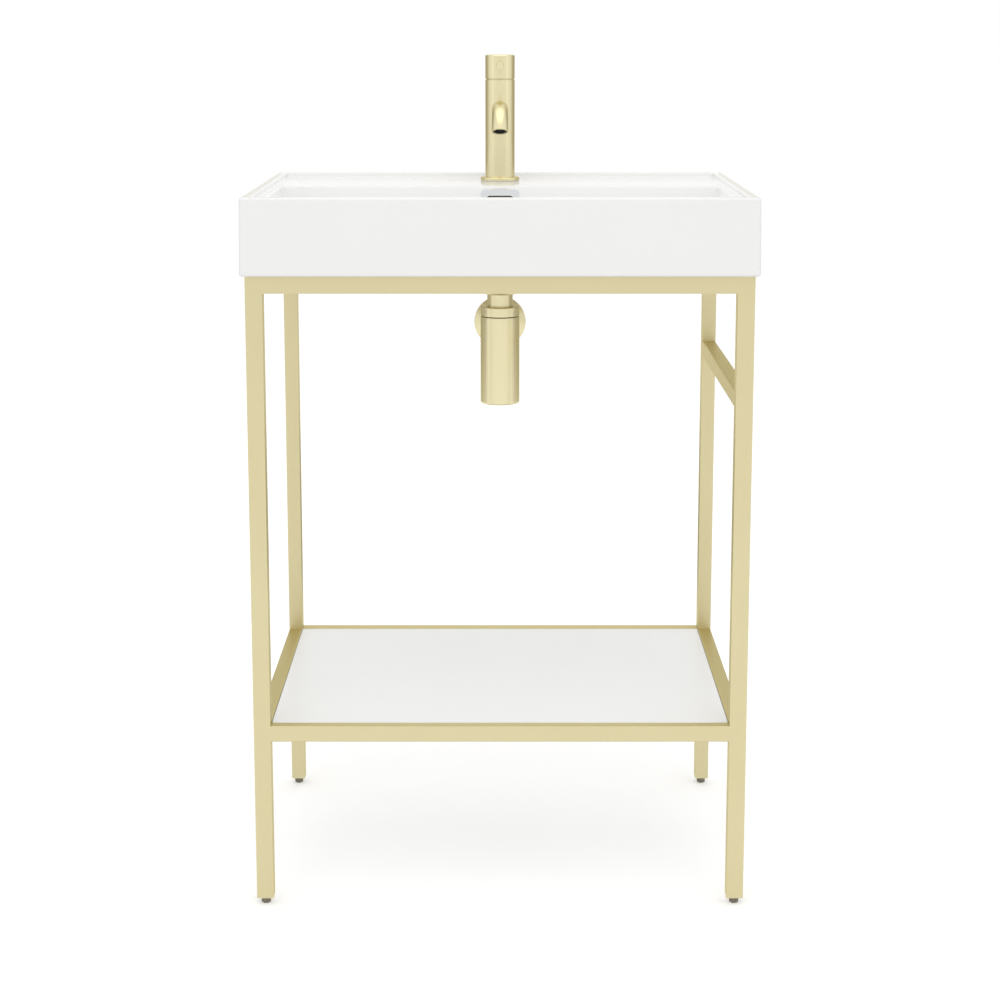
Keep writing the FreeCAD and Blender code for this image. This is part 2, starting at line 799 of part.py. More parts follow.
def outlet_pipe():
    start = outlet_pipe_start()
    return ring(pipe_diameter, pipe_diameter - 2 * pipe_wall, wall_y - start, V(0, start, outlet_z), BACK)


def wall_flange():
    """Thin dished disc that covers the hole in the wall."""
    outside = wall_flange_diameter / 2
    pipe = pipe_diameter / 2
    corners = [
        (pipe, 0, 0), (outside, 0, 0), (outside, wall_flange_edge, 0.6),
        (pipe + 6, wall_flange_thickness, 3.0), (pipe, wall_flange_thickness, 0.4),
    ]
    return turned(corners, V(0, wall_y, outlet_z), FRONT)


# ---- mixer tap ----
def tap_point(z, back=0.0, across=0.0):
    return V(across, tap_y + back, z)


def spout_bend_start():
    """How far in front of the tap's axis the spout starts to bend."""
    turn = math.radians(spout_turn)
    return spout_reach - spout_bend_radius * math.sin(turn) - spout_tip_length * math.cos(turn)


def spout_tip():
    """End of the spout's axis, and its direction there."""
    turn = math.radians(spout_turn)
    drop = spout_bend_radius * (1 - math.cos(turn)) + spout_tip_length * math.sin(turn)
    return tap_point(spout_z - drop, -spout_reach), V(0, -math.cos(turn), -math.sin(turn))


def along_spout(diameter, start_back, tip_length):
    """Rod along the spout's axis, from start_back in front of the tap's axis."""
    bend = spout_bend_start()
    run = cylinder(diameter, bend - start_back, tap_point(spout_z, -start_back), FRONT)
    face = Part.Face(Part.Wire(Part.makeCircle(diameter / 2, tap_point(spout_z, -bend), FRONT)))
    arc = face.revolve(tap_point(spout_z - spout_bend_radius, -bend), RIGHT, spout_turn)
    end, direction = spout_tip()
    tip = cylinder(diameter, tip_length, end - direction * spout_tip_length, direction)
    return run.fuse(arc).fuse(tip).removeSplitter()


def spout_root():
    """Where the spout's spigot ends inside the body, in front of the tap's axis."""
    return tap_diameter / 2 - spout_spigot


def tap_spout():
    outside = along_spout(spout_diameter, spout_root(), spout_tip_length)
    end, direction = spout_tip()
    lip = [e for e in outside.Edges if e.Closed and (e.CenterOfMass - end).Length < 0.1]
    outside = outside.makeFillet(0.6, lip)
    bore = along_spout(spout_bore, spout_root() - 1, spout_tip_length + 1)
    nest = cylinder(aerator_diameter, aerator_length + aerator_recess + 1, end + direction, direction * -1)
    return outside.cut(bore).cut(nest)


def aerator():
    """Outlet insert: a ring with a slotted plate across it."""
    end, direction = spout_tip()
    start = end - direction * aerator_recess
    shell = ring(aerator_diameter, aerator_diameter - 2 * aerator_wall, aerator_length, start, direction * -1)
    plate_start = start - direction * 2
    plate = cylinder(aerator_diameter - aerator_wall, aerator_plate, plate_start, direction * -1)
    side = direction.cross(RIGHT)
    for ring_radius, count in ((2.2, 6), (4.6, 12)):
        for k in range(count):
            turn = 2 * math.pi * k / count
            middle = plate_start + (RIGHT * math.cos(turn) + side * math.sin(turn)) * ring_radius
            plate = plate.cut(cylinder(1.1, aerator_plate + 1, middle + direction * 0.5, direction * -1))
    return shell.fuse(plate).removeSplitter()


def tap_body():
    """Fixed body of the tap: flange, hollow foot, block with the waterways, and cartridge seat."""
    radius = tap_diameter / 2
    flange = tap_flange_diameter / 2
    top = joint_z - tap_base
    rim = top + handle_gap - groove_clearance
    corners = [
        (0, 0, 0), (flange, 0, 1.0), (flange, tap_flange_height, 2.0), (radius, tap_flange_height, 0.8),
        (radius, top, tap_edge), (radius - groove_depth, top, 0), (radius - groove_depth, rim, 0), (0, rim, 0),
    ]
    body = turned(corners, tap_point(tap_base))
    body = body.cut(cylinder(shank_diameter, shank_grip, tap_point(tap_base)))
    body = body.cut(cylinder(body_bore, inlet_z - tap_base, tap_point(tap_base)))
    body = body.cut(cylinder(cartridge_nut_diameter, REACH, tap_point(nut_seat_z)))
    body = body.cut(cylinder(cartridge_diameter, REACH, tap_point(cartridge_z)))
    body = body.cut(cylinder(spout_diameter, REACH, tap_point(spout_z, -spout_root()), FRONT))
    body = body.cut(cylinder(waterway_diameter, spout_root() - 5, tap_point(spout_z, -5), FRONT))
    body = body.cut(cylinder(waterway_diameter, cartridge_z - spout_z, tap_point(spout_z, -6)))
    for side in (-1, 1):
        mouth = tap_point(inlet_z, inlet_setback, side * inlet_spread)
        body = body.cut(cylinder(inlet_diameter, inlet_depth, mouth))
        body = body.cut(cylinder(inlet_way_diameter, cartridge_z - inlet_z, mouth))
    return body


def tap_gasket():
    return ring(tap_flange_diameter - 2, shank_diameter, tap_gasket_thickness, tap_point(deck_z))


def tap_shank():
    """Threaded tube from the body down through the tap hole; the water hoses pass inside it."""
    base = tap_base + shank_grip - shank_length
    return ring(shank_diameter, shank_bore, shank_length, tap_point(base))


def shank_rubber_washer():
    base = deck_underside - rubber_washer_thickness
    return ring(shank_washer_diameter, shank_diameter, rubber_washer_thickness, tap_point(base))


def shank_steel_washer():
    base = deck_underside - rubber_washer_thickness - steel_washer_thickness
    return ring(shank_washer_diameter, shank_diameter, steel_washer_thickness, tap_point(base))


def shank_nut():
    base = tap_point(deck_underside - rubber_washer_thickness - steel_washer_thickness - shank_nut_height)
    return hexagon(shank_nut_width, shank_nut_height, base).cut(cylinder(shank_diameter, shank_nut_height, base))


def cartridge_housing():
    """Fixed shell of the ceramic cartridge, with its three ports and the bore for the carrier."""
    shell = cylinder(cartridge_diameter, cartridge_height, tap_point(cartridge_z))
    bore = cylinder(carrier_diameter + 2 * running, cartridge_height, tap_point(cartridge_z + cartridge_floor))
    shell = shell.cut(bore)
    for back, across in ((-6, 0), (inlet_setback, inlet_spread), (inlet_setback, -inlet_spread)):
        shell = shell.cut(cylinder(4.0, cartridge_floor + 1, tap_point(cartridge_z, back, across)))
    return shell


def cartridge_carrier():
    """Turning part of the cartridge; the stem tilts in its slot."""
    base = cartridge_z + cartridge_floor + seat
    top = joint_z + carrier_above_joint
    carrier = cylinder(carrier_diameter, top - base, tap_point(base))
    slot_half = stem_diameter / 2 + 2 * running
    slot = box(
        -slot_half, slot_half, tap_y - carrier_diameter, tap_y + carrier_diameter,
        top - carrier_slot_depth, top + 1,
    )
    return carrier.cut(slot).cut(pivot_pin())


def pivot_pin():
    start = tap_point(pivot_z, 0, -carrier_diameter / 2 + 0.4)
    return cylinder(pivot_pin_diameter, carrier_diameter - 0.8, start, RIGHT)


def cartridge_stem():
    """Stem that tilts on the pivot pin and carries the handle."""
    base = pivot_z - stem_below_pivot
    top = boss_base() + boss_overlap
    stem = cylinder(stem_diameter, top - base, tap_point(base))
    bore = cylinder(pivot_pin_diameter + 2 * running, stem_diameter + 2, tap_point(pivot_z, 0, -stem_diameter / 2 - 1), RIGHT)
    return stem.cut(bore)


def cartridge_nut():
    """Ring nut that holds the cartridge down, with a low neck under the handle."""
    thread = cartridge_nut_diameter / 2
    neck = cartridge_nut_neck / 2
    bore = carrier_diameter / 2 + 0.5
    corners = [
        (bore, 0, 0), (thread, 0, 0), (thread, cartridge_nut_grip, 0), (neck, cartridge_nut_grip, 0),
        (neck, cartridge_nut_grip + cartridge_nut_rise, 1.5), (bore, cartridge_nut_grip + cartridge_nut_rise, 0),
    ]
    return turned(corners, tap_point(nut_seat_z))


def boss_base():
    return handle_z + handle_height - handle_roof - boss_length


def lever_z():
    return handle_z + lever_height


def handle_lever():
    """Round pin lever, screwed into the front of the handle."""
    radius = lever_diameter / 2
    spigot = lever_spigot_diameter / 2
    length = lever_seat + lever_length
    corners = [
        (0, -lever_spigot_length, 0), (spigot, -lever_spigot_length, 0), (spigot, 0, 0), (radius, 0, 0),
        (radius, length, lever_edge), (0, length, 0),
    ]
    return turned(corners, tap_point(lever_z(), lever_seat - tap_diameter / 2), FRONT)


def grub_screw():
    start = tap_point(lever_z(), stem_diameter / 2)
    key = cylinder(2.0, 2.5, start + BACK * (grub_length - 2), BACK)
    return cylinder(grub_diameter, grub_length, start, BACK).cut(key)


def handle_cap():
    """Hollow round handle: its boss grips the stem, and its rear lower edge is relieved for the lift."""
    radius = tap_diameter / 2
    inside = radius - handle_wall
    boss = boss_diameter / 2
    roof = handle_height - handle_roof
    foot_of_boss = roof - boss_length
    corners = [
        (0, foot_of_boss, 0), (boss, foot_of_boss, 0.5), (boss, roof, 0), (inside, roof, 1.0), (inside, 0, 0),
        (radius, 0, 0.5), (radius, handle_height, handle_edge), (0, handle_height, 0),
    ]
    cap = turned(corners, tap_point(handle_z))
    angle = math.radians(lift_angle + lift_relief)
    rise = (radius + 1) * math.tan(angle)
    points = [(0, -1), (radius + 1, -1), (radius + 1, rise), (0, 0), (0, -1)]
    wedge = Part.Face(Part.makePolygon([tap_point(handle_z + z, y, -radius - 1) for y, z in points]))
    cap = cap.cut(wedge.extrude(RIGHT * (tap_diameter + 2)))
    cap = cap.cut(handle_lever()).cut(cartridge_stem())
    return cap.cut(cylinder(grub_diameter, REACH, tap_point(lever_z(), stem_diameter / 2), BACK))


# ---- all nodes ----
def nodes():
    made = {}
    for name, side, y0, y1, width in legs():
        made[f"leg_{name}"] = [leg(side, y0, y1, width)]
        made[f"foot_{name}"] = [foot(side, y0, y1, width)]
    made["foot_bushes"] = [foot_bush(*row[1:]) for row in legs()]
    made["top_rail_front"] = [cross_rail(frame_front, frame_front + cross_rail_depth, frame_height)]
    made["top_rail_rear"] = [rear_top_rail()]
    made["shelf_rail_front"] = [cross_rail(frame_front, frame_front + shelf_front_rail_depth, shelf_height)]
    made["shelf_rail_rear"] = [cross_rail(frame_rear - cross_rail_depth, frame_rear, shelf_height)]
    for word, side in (("left", -1), ("right", 1)):
        made[f"top_rail_{word}"] = [side_rail(side, frame_height)]
        made[f"shelf_rail_{word}"] = [side_rail(side, shelf_height)]
    made["towel_rail"] = [side_rail(1, towel_rail_height)]
    made["shelf_board"] = [shelf_board()]
    made["shelf_tabs"] = [tab(*place) for place in tab_places()]
    made["shelf_screws"] = [shelf_screw(*place) for place in tab_places()]
    made["basin"] = [basin()]
    made["basin_pads"] = pads()
    made["overflow_trim"] = [overflow_trim()]
    made["waste_body"] = [waste_body()]
    made["waste_gasket"] = [waste_gasket()]
    made["waste_backnut_washer"] = [backnut_washer()]
    made["waste_backnut"] = [backnut()]
    made["waste_click_sleeve"] = [click_sleeve()]
    made["waste_click_spring"] = [click_spring()]
    made["waste_plug"] = [waste_plug()]
    made["waste_plug_stem"] = [plug_stem()]
    made["trap_coupling_nut"] = [coupling_nut()]
    made["trap_washer"] = [trap_washer()]
    made["trap_inlet_pipe"] = [inlet_pipe()]
    made["trap_cap"] = [trap_cap()]
    made["trap_seal"] = [trap_seal()]
    made["trap_body"] = [trap_body()]
    made["trap_outlet_nut"] = [outlet_nut()]
    made["trap_outlet_pipe"] = [outlet_pipe()]
    made["trap_wall_flange"] = [wall_flange()]
    made["tap_body"] = [tap_body()]
    made["tap_spout"] = [tap_spout()]
    made["tap_aerator"] = [aerator()]
    made["tap_gasket"] = [tap_gasket()]
    made["tap_shank"] = [tap_shank()]
    made["tap_rubber_washer"] = [shank_rubber_washer()]
    made["tap_steel_washer"] = [shank_steel_washer()]
    made["tap_shank_nut"] = [shank_nut()]
    made["cartridge_housing"] = [cartridge_housing()]
    made["cartridge_nut"] = [cartridge_nut()]
    made["cartridge_carrier"] = [cartridge_carrier()]
    made["cartridge_pivot_pin"] = [pivot_pin()]
    made["cartridge_stem"] = [cartridge_stem()]
    made["handle_cap"] = [handle_cap()]
    made["handle_lever"] = [handle_lever()]
    made["handle_grub_screw"] = [grub_screw()]
    return made


def write_parts():
    os.makedirs("parts", exist_ok=True)
    for name, solids in nodes().items():
        loose = [solid for shape in solids for solid in shape.Solids]
        shape = loose[0] if len(loose) == 1 else Part.makeCompound(loose)
        bounds = shape.BoundBox
        print(
            f"{name:22s} solids {len(loose)} of {len(solids)} valid {shape.isValid()} volume {shape.Volume / 1000:9.2f} cm3"
            f"  x {bounds.XMin:8.2f} {bounds.XMax:8.2f}  y {bounds.YMin:8.2f} {bounds.YMax:8.2f}"
            f"  z {bounds.ZMin:8.2f} {bounds.ZMax:8.2f}"
        )
        shape.exportStep(f"parts/{name}.step")


write_parts()
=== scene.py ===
"""Console sink with legs: ceramic basin on a satin light-brass tube frame, with tap, trap and shelf.

Sizes are in millimetres until a piece is finished, when it is scaled to metres in the CAD frame.
"""

import bmesh
import bpy
import math
from mathutils import Matrix, Vector


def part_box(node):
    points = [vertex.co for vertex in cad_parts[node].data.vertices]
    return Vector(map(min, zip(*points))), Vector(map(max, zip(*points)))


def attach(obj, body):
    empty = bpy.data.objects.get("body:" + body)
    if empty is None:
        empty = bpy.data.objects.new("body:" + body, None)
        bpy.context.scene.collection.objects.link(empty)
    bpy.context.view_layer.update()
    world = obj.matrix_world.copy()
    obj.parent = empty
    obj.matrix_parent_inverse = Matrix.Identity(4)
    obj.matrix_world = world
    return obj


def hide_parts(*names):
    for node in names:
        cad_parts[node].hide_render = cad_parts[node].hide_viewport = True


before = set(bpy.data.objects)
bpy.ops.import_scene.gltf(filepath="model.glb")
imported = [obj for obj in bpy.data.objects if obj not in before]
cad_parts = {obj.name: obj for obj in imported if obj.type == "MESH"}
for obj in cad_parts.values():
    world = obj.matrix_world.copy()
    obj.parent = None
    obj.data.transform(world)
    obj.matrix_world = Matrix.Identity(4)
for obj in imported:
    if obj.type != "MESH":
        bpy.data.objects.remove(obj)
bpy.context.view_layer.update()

MM = 0.001
UP = Vector((0, 0, 1))
FRONT = Vector((0, -1, 0))
BACK = Vector((0, 1, 0))
FIXED = "fixed_parts"


def span(node):
    """Lowest and highest corner of a CAD node, in millimetres."""
    return [Vector([round(v / MM, 2) for v in corner]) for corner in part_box(node)]


# ---- camera, just above the tap and pitched down a little ----
DISTANCE, EYE_HEIGHT, PITCH_DOWN = 2.6824, 1.0463, 10.015
SENSOR, LENS, LENS_SHIFT = 36.0, 77.325, -0.09
camera = bpy.data.objects.new("camera", bpy.data.cameras.new("camera"))
bpy.context.scene.collection.objects.link(camera)
camera.data.sensor_width = SENSOR
camera.data.lens = LENS
camera.data.shift_y = LENS_SHIFT
camera.data.clip_end = 100.0
camera.location = (0, -DISTANCE, EYE_HEIGHT)
camera.rotation_euler = (math.radians(90 - PITCH_DOWN), 0, 0)
bpy.context.scene.camera = camera


# ---- materials ----
def linear(colour):
    """sRGB hex to the linear colour that a shader takes."""
    parts = [int(colour[i:i + 2], 16) / 255 for i in (1, 3, 5)]
    return [c / 12.92 if c <= 0.04045 else ((c + 0.055) / 1.055) ** 2.4 for c in parts] + [1.0]


def add(tree, kind, inputs=None, **settings):
    """Adds a node; inputs gives its sockets, by name or number, a value or another node's output."""
    node = tree.nodes.new(kind)
    for name, value in settings.items():
        setattr(node, name, value)
    for key, value in (inputs or {}).items():
        if isinstance(value, bpy.types.NodeSocket):
            tree.links.new(value, node.inputs[key])
        else:
            node.inputs[key].default_value = value
    return node


def surface(name, shader, colours, patch, rough, grain, relief):
    """A finish: two close colours in soft patches, a range of roughness, and a fine relief.

    patch is the size of the patches in mm, grain the size of the relief along x, y and z in mm, and relief
    its height in mm. shader sets the sockets that are the same all over.
    """
    material = bpy.data.materials.new(name)
    material.use_nodes = True
    tree = material.node_tree
    principled = tree.nodes["Principled BSDF"]
    for key, value in shader.items():
        principled.inputs[key].default_value = value
    place = add(tree, "ShaderNodeTexCoord").outputs["Object"]
    patches = add(tree, "ShaderNodeTexNoise", {
        "Vector": place, "Scale": 1 / (patch * MM), "Detail": 3.0})
    tint = add(tree, "ShaderNodeMix", {
        0: patches.outputs["Fac"], 6: linear(colours[0]), 7: linear(colours[1])}, data_type="RGBA")
    tree.links.new(tint.outputs[2], principled.inputs["Base Color"])
    stretched = add(tree, "ShaderNodeMapping", {
        "Vector": place, "Scale": [1 / (size * MM) for size in grain]})
    fine = add(tree, "ShaderNodeTexNoise", {
        "Vector": stretched.outputs[0], "Scale": 1.0, "Detail": 4.0})
    gloss = add(tree, "ShaderNodeMapRange", {
        "Value": fine.outputs["Fac"], "To Min": rough[0], "To Max": rough[1]})
    tree.links.new(gloss.outputs[0], principled.inputs["Roughness"])
    bump = add(tree, "ShaderNodeBump", {
        "Height": fine.outputs["Fac"], "Distance": relief * MM, "Strength": 1.0})
    tree.links.new(bump.outputs[0], principled.inputs["Normal"])
    return material


METAL = {"Metallic": 1.0}
# The tint keeps brass yellow at a glancing angle, where plain metal turns white.
BRASS = {"Metallic": 1.0, "Specular Tint": (0.85, 0.80, 0.58, 1.0)}
TUBE_COLOURS, TURNED_COLOURS = ("#d9cfa7", "#d5caa1"), ("#e6ddb7", "#e2d8b0")
SATIN, BRUSHED = (0.36, 0.44), (0.27, 0.34)
# Square steel tube, linished along its length and plated in a satin light brass: a soft even sheen. The
# real grit lines are 0.1 mm apart, too fine to show, and are drawn 1.5 mm apart as a faint silk.
plated_along = {
    axis: surface(
        f"satin_plated_steel_{axis}", BRASS, TUBE_COLOURS, 90, SATIN,
        [160 if axis == other else 1.5 for other in "xyz"], 0.004)
    for axis in "xyz"
}
# Turned brass, finely brushed round its axis and clear coated: a little brighter than the tube.
brushed_upright = surface(
    "turned_brass_upright", BRASS, TURNED_COLOURS, 60, BRUSHED, (200, 200, 0.9), 0.003)
brushed_level = surface(
    "turned_brass_level", BRASS, TURNED_COLOURS, 60, BRUSHED, (200, 0.9, 200), 0.003)
# Dark dull brass on the bottle's neck, where it shows below its cap: painted shade for the groove there.
neck_shade_brass = surface(
    "neck_brass_painted_shade", METAL, ("#5a4f2a", "#4e4424"), 8, (0.50, 0.62), (200, 200, 0.9), 0.01)
# Fireclay under a thick fired white glaze: deep gloss, with a slow waviness that bends reflections.
glazed_fireclay = surface(
    "glazed_fireclay", {"IOR": 1.52}, ("#f4f4f3", "#f1f1f0"), 140, (0.13, 0.18), (38, 38, 38), 0.10)
# The same fireclay where it is left bare under the basin: dry and chalky, a little warmer.
bare_fireclay = surface(
    "bare_fireclay", {"IOR": 1.5}, ("#e6e2da", "#dedad1"), 25, (0.75, 0.85), (3, 3, 3), 0.03)
# Moisture-resistant board, sprayed with white lacquer: smooth satin, with an orange peel 2 mm across.
sprayed_lacquer = surface(
    "sprayed_white_lacquer", {"IOR": 1.5}, ("#f8f9fa", "#f5f6f7"), 110, (0.30, 0.38), (2.2, 2.2, 2.2),
    0.012)
# Chrome plate over polished brass: a clear mirror with faint water marks.
bright_chrome = surface(
    "chrome_plated_brass", METAL, ("#dcdee0", "#d6d8da"), 9, (0.05, 0.10), (6, 6, 6), 0.002)
# Turned steel, blackened and handled: dull, with worn lighter patches.
blackened_steel = surface(
    "blackened_turned_steel", METAL, ("#8a8577", "#6a6659"), 3, (0.38, 0.50), (6, 6, 0.6), 0.01)
# Zinc-plated steel: bluish grey, rather matt, faintly mottled by the bath.
zinc_steel = surface(
    "zinc_plated_steel", METAL, ("#c4c6c6", "#b4b7b8"), 4, (0.30, 0.42), (4, 4, 4), 0.01)
# Plain turned steel: tool marks round its axis.
turned_steel = surface(
    "turned_steel", METAL, ("#b4b4b2", "#a9a9a7"), 8, (0.28, 0.36), (9, 9, 0.6), 0.008)
# Moulded rubber: no gloss, fine grain from the mould.
moulded_rubber = surface(
    "moulded_rubber", {"IOR": 1.5}, ("#232324", "#2a2a2b"), 12, (0.62, 0.75), (0.8, 0.8, 0.8), 0.02)
# Cast silicone in two tones of painted light and shade: grey for the pads between brass and clay, a painted
# shade for the thin dark line of that gap, and pale for the gasket on the white deck under the tap, painted
# light that hides the shade under its flange.
silicone_painted_shade_grey = surface(
    "silicone_painted_shade_grey", {"IOR": 1.43}, ("#a09e96", "#96948c"), 10, (0.35, 0.45), (2, 2, 2), 0.02)
silicone_painted_light_pale = surface(
    "cast_silicone_painted_light_pale", {"IOR": 1.43}, ("#efeeea", "#e9e8e4"), 10, (0.35, 0.45), (2, 2, 2), 0.02)
# Moulded acetal: waxy, with the fine grain of its mould. Off-white inside the tap. The black one in the
# spout's mouth and behind the overflow's slot is painted shade for those dark hollows.
moulded_acetal = surface(
    "moulded_acetal", {"IOR": 1.48}, ("#e3e3df", "#dcdcd7"), 10, (0.36, 0.46), (0.9, 0.9, 0.9), 0.01)
black_acetal_painted_shade = surface(
    "moulded_black_acetal_painted_shade", {"IOR": 1.48}, ("#1e1e1f", "#242425"), 10, (0.42, 0.52), (0.9, 0.9, 0.9), 0.01)

KEPT_NODES = {
    plated_along["z"]: ["foot_bushes"],
    plated_along["x"]: ["shelf_tabs"],
    # The grey pads paint the shadow line under the basin; the pale gasket paints out the shade under the
    # tap's flange.
    silicone_painted_shade_grey: ["basin_pads"],
    silicone_painted_light_pale: ["tap_gasket"],
    # The aerator's black is painted shade in the spout's mouth.
    black_acetal_painted_shade: ["tap_aerator"],
    bright_chrome: ["waste_body"],
    turned_steel: [
        "waste_backnut", "waste_plug_stem", "waste_click_spring", "tap_shank", "tap_shank_nut",
        "tap_steel_washer", "cartridge_nut", "cartridge_pivot_pin", "cartridge_stem", "handle_grub_screw",
    ],
    moulded_rubber: [
        "waste_gasket", "waste_backnut_washer", "trap_washer", "trap_seal", "tap_rubber_washer",
    ],
    moulded_acetal: ["waste_click_sleeve", "cartridge_housing", "cartridge_carrier"],
}
for material, kept in KEPT_NODES.items():
    for node in kept:
        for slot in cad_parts[node].material_slots:
            slot.material = material


# ---- meshes ----
def placed(name, mesh):
    obj = bpy.data.objects.new(name, mesh)
    bpy.context.scene.collection.objects.link(obj)
    return obj


def evaluated(obj):
    """The object's mesh with its modifiers applied; the object itself is removed."""
    graph = bpy.context.evaluated_depsgraph_get()
    mesh = bpy.data.meshes.new_from_object(obj.evaluated_get(graph), depsgraph=graph)
    bpy.data.objects.remove(obj)
    return mesh


def mesh_of(name, shape):
    mesh = bpy.data.meshes.new(name)
    shape.to_mesh(mesh)
    shape.free()
    return mesh


def joined(mesh, others, operation):
    """Takes the other meshes from mesh, or joins them on, one by one."""
    for other in others:
        obj, tool = placed("work", mesh), placed("tool", other)
        change = obj.modifiers.new("change", "BOOLEAN")
        change.operation, change.solver, change.object = operation, "EXACT", tool
        mesh = evaluated(obj)
        bpy.data.objects.remove(tool)
    return mesh


def softened(mesh, radius, segments=3, angle=50):
    """Rounds the outer edges that are sharper than angle."""
    shape = bmesh.new()
    shape.from_mesh(mesh)
    bmesh.ops.remove_doubles(shape, verts=shape.verts, dist=0.002)
    bmesh.ops.recalc_face_normals(shape, faces=shape.faces)
    edges = [
        e for e in shape.edges
        if len(e.link_faces) == 2 and e.calc_face_angle_signed() > math.radians(angle)]
    bmesh.ops.bevel(
        shape, geom=edges, offset=radius, segments=segments, profile=0.5, affect="EDGES",
        clamp_overlap=True)
    shape.to_mesh(mesh)
    shape.free()
    return mesh


def finish(name, mesh, material, body, stands_for, sharp=34):
    """Cleans a closed mesh in mm, sets its shading, and puts it in the frame as a piece of the object.

    material is one material, or a pair: a list of them, and the rule that gives a face's number in it.
    """
    finishes, rule = material if isinstance(material, tuple) else ([material], None)
    shape = bmesh.new()
    shape.from_mesh(mesh)
    bmesh.ops.remove_doubles(shape, verts=shape.verts, dist=0.002)
    bmesh.ops.dissolve_degenerate(shape, edges=shape.edges, dist=0.0005)
    bmesh.ops.recalc_face_normals(shape, faces=shape.faces)
    for face in shape.faces:
        face.smooth = True
        face.material_index = rule(face.calc_center_median()) if rule else 0
    for edge in shape.edges:
        edge.smooth = len(edge.link_faces) == 2 and edge.calc_face_angle() < math.radians(sharp)
    bmesh.ops.scale(shape, vec=(MM, MM, MM), verts=shape.verts)
    mesh.materials.clear()
    for one in finishes:
        mesh.materials.append(one)
    shape.to_mesh(mesh)
    shape.free()
    obj = placed(name, mesh)
    even = obj.modifiers.new("even", "WEIGHTED_NORMAL")
    even.keep_sharp = True
    obj = placed(name, evaluated(obj))
    obj.name = obj.data.name = name
    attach(obj, body)
    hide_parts(*stands_for)


def rounded(corners, steps=6):
    """Closed outline of corners (u, v, radius), each turned on an arc that meets both its sides."""
    points = []
    for i, (u, v, radius) in enumerate(corners):
        here = Vector((u, v))
        if radius <= 0:
            points.append(here)
            continue
        before = (Vector(corners[i - 1][:2]) - here).normalized()
        after = (Vector(corners[(i + 1) % len(corners)][:2]) - here).normalized()
        half = before.angle(after) / 2
        centre = here + (before + after).normalized() * (radius / math.sin(half))
        start = here + before * (radius / math.tan(half)) - centre
        end = here + after * (radius / math.tan(half)) - centre
        turn = math.pi - 2 * half
        for k in range(steps + 1):
            t = k / steps
            arc = start * math.sin((1 - t) * turn) + end * math.sin(t * turn)
            points.append(centre + arc / math.sin(turn))
    return points


def turned(corners, base, axis=UP, segments=128):
    """A piece turned on a lathe: corners (radius, height, rounding) round axis, from base."""
    shape = bmesh.new()
    place = Matrix.Translation(base) @ axis.to_track_quat("Z", "Y").to_matrix().to_4x4()
    angles = [2 * math.pi * k / segments for k in range(segments)]
    rings = []
    for radius, height in rounded(corners):
        if radius < 1e-6:
            rings.append([shape.verts.new(place @ Vector((0, 0, height)))] * segments)
        else:
            rings.append([
                shape.verts.new(place @ Vector((radius * math.cos(a), radius * math.sin(a), height)))
                for a in angles])
    for ring, following in zip(rings, rings[1:] + rings[:1]):
        for k in range(segments):
            face = list(dict.fromkeys([ring[k], ring[k - 1], following[k - 1], following[k]]))
            if len(face) > 2:
                shape.faces.new(face)
    bmesh.ops.recalc_face_normals(shape, faces=shape.faces)
    return mesh_of("turned", shape)


def rod(radius, first, last, base, axis, segments):
    """Plain cylinder, from first to last along axis."""
    return turned([(0, first, 0), (radius, first, 0), (radius, last, 0), (0, last, 0)], base, axis, segments)


def lofted(rings, closed=False):
    """Skin through rings of as many points each: round again if closed, else with flat ends."""
    shape = bmesh.new()
    made = [[shape.verts.new(p) for p in ring] for ring in rings]
    pairs = list(zip(made, made[1:])) + ([(made[-1], made[0])] if closed else [])
    for ring, following in pairs:
        for k in range(len(ring)):
            shape.faces.new((ring[k - 1], ring[k], following[k], following[k - 1]))
    if not closed:
        shape.faces.new(made[0])
        shape.faces.new(made[-1][::-1])
    bmesh.ops.recalc_face_normals(shape, faces=shape.faces)
    return mesh_of("lofted", shape)


def outline(half, front, back, z, radius, along=14, arc=8):
    """Level rectangle with round corners. Its points crowd near them, so the long sides stay flat."""
    centres = [
        (half - radius, front + radius, -90), (half - radius, back - radius, 0),
        (radius - half, back - radius, 90), (radius - half, front + radius, 180),
    ]
    arcs = []
    for x, y, start in centres:
        turns = [math.radians(start + 90 * k / arc) for k in range(arc + 1)]
        arcs.append([Vector((x + radius * math.cos(a), y + radius * math.sin(a), z)) for a in turns])
    points = []
    for here, following in zip(arcs, arcs[1:] + arcs[:1]):
        points += here
        for k in range(1, along + 1):
            share = 0.5 - 0.5 * math.cos(math.pi * k / (along + 1))
            points.append(here[-1].lerp(following[0], share))
    return points


def block(low, high):
    shape = bmesh.new()
    bmesh.ops.create_cube(shape, size=1.0)
    for vert in shape.verts:
        vert.co = Vector([low[i] + (vert.co[i] + 0.5) * (high[i] - low[i]) for i in range(3)])
    return mesh_of("block", shape)


def quarter(count, last=90.0):
    """Angles from 0 to last degrees."""
    return [math.radians(last * k / count) for k in range(count + 1)]


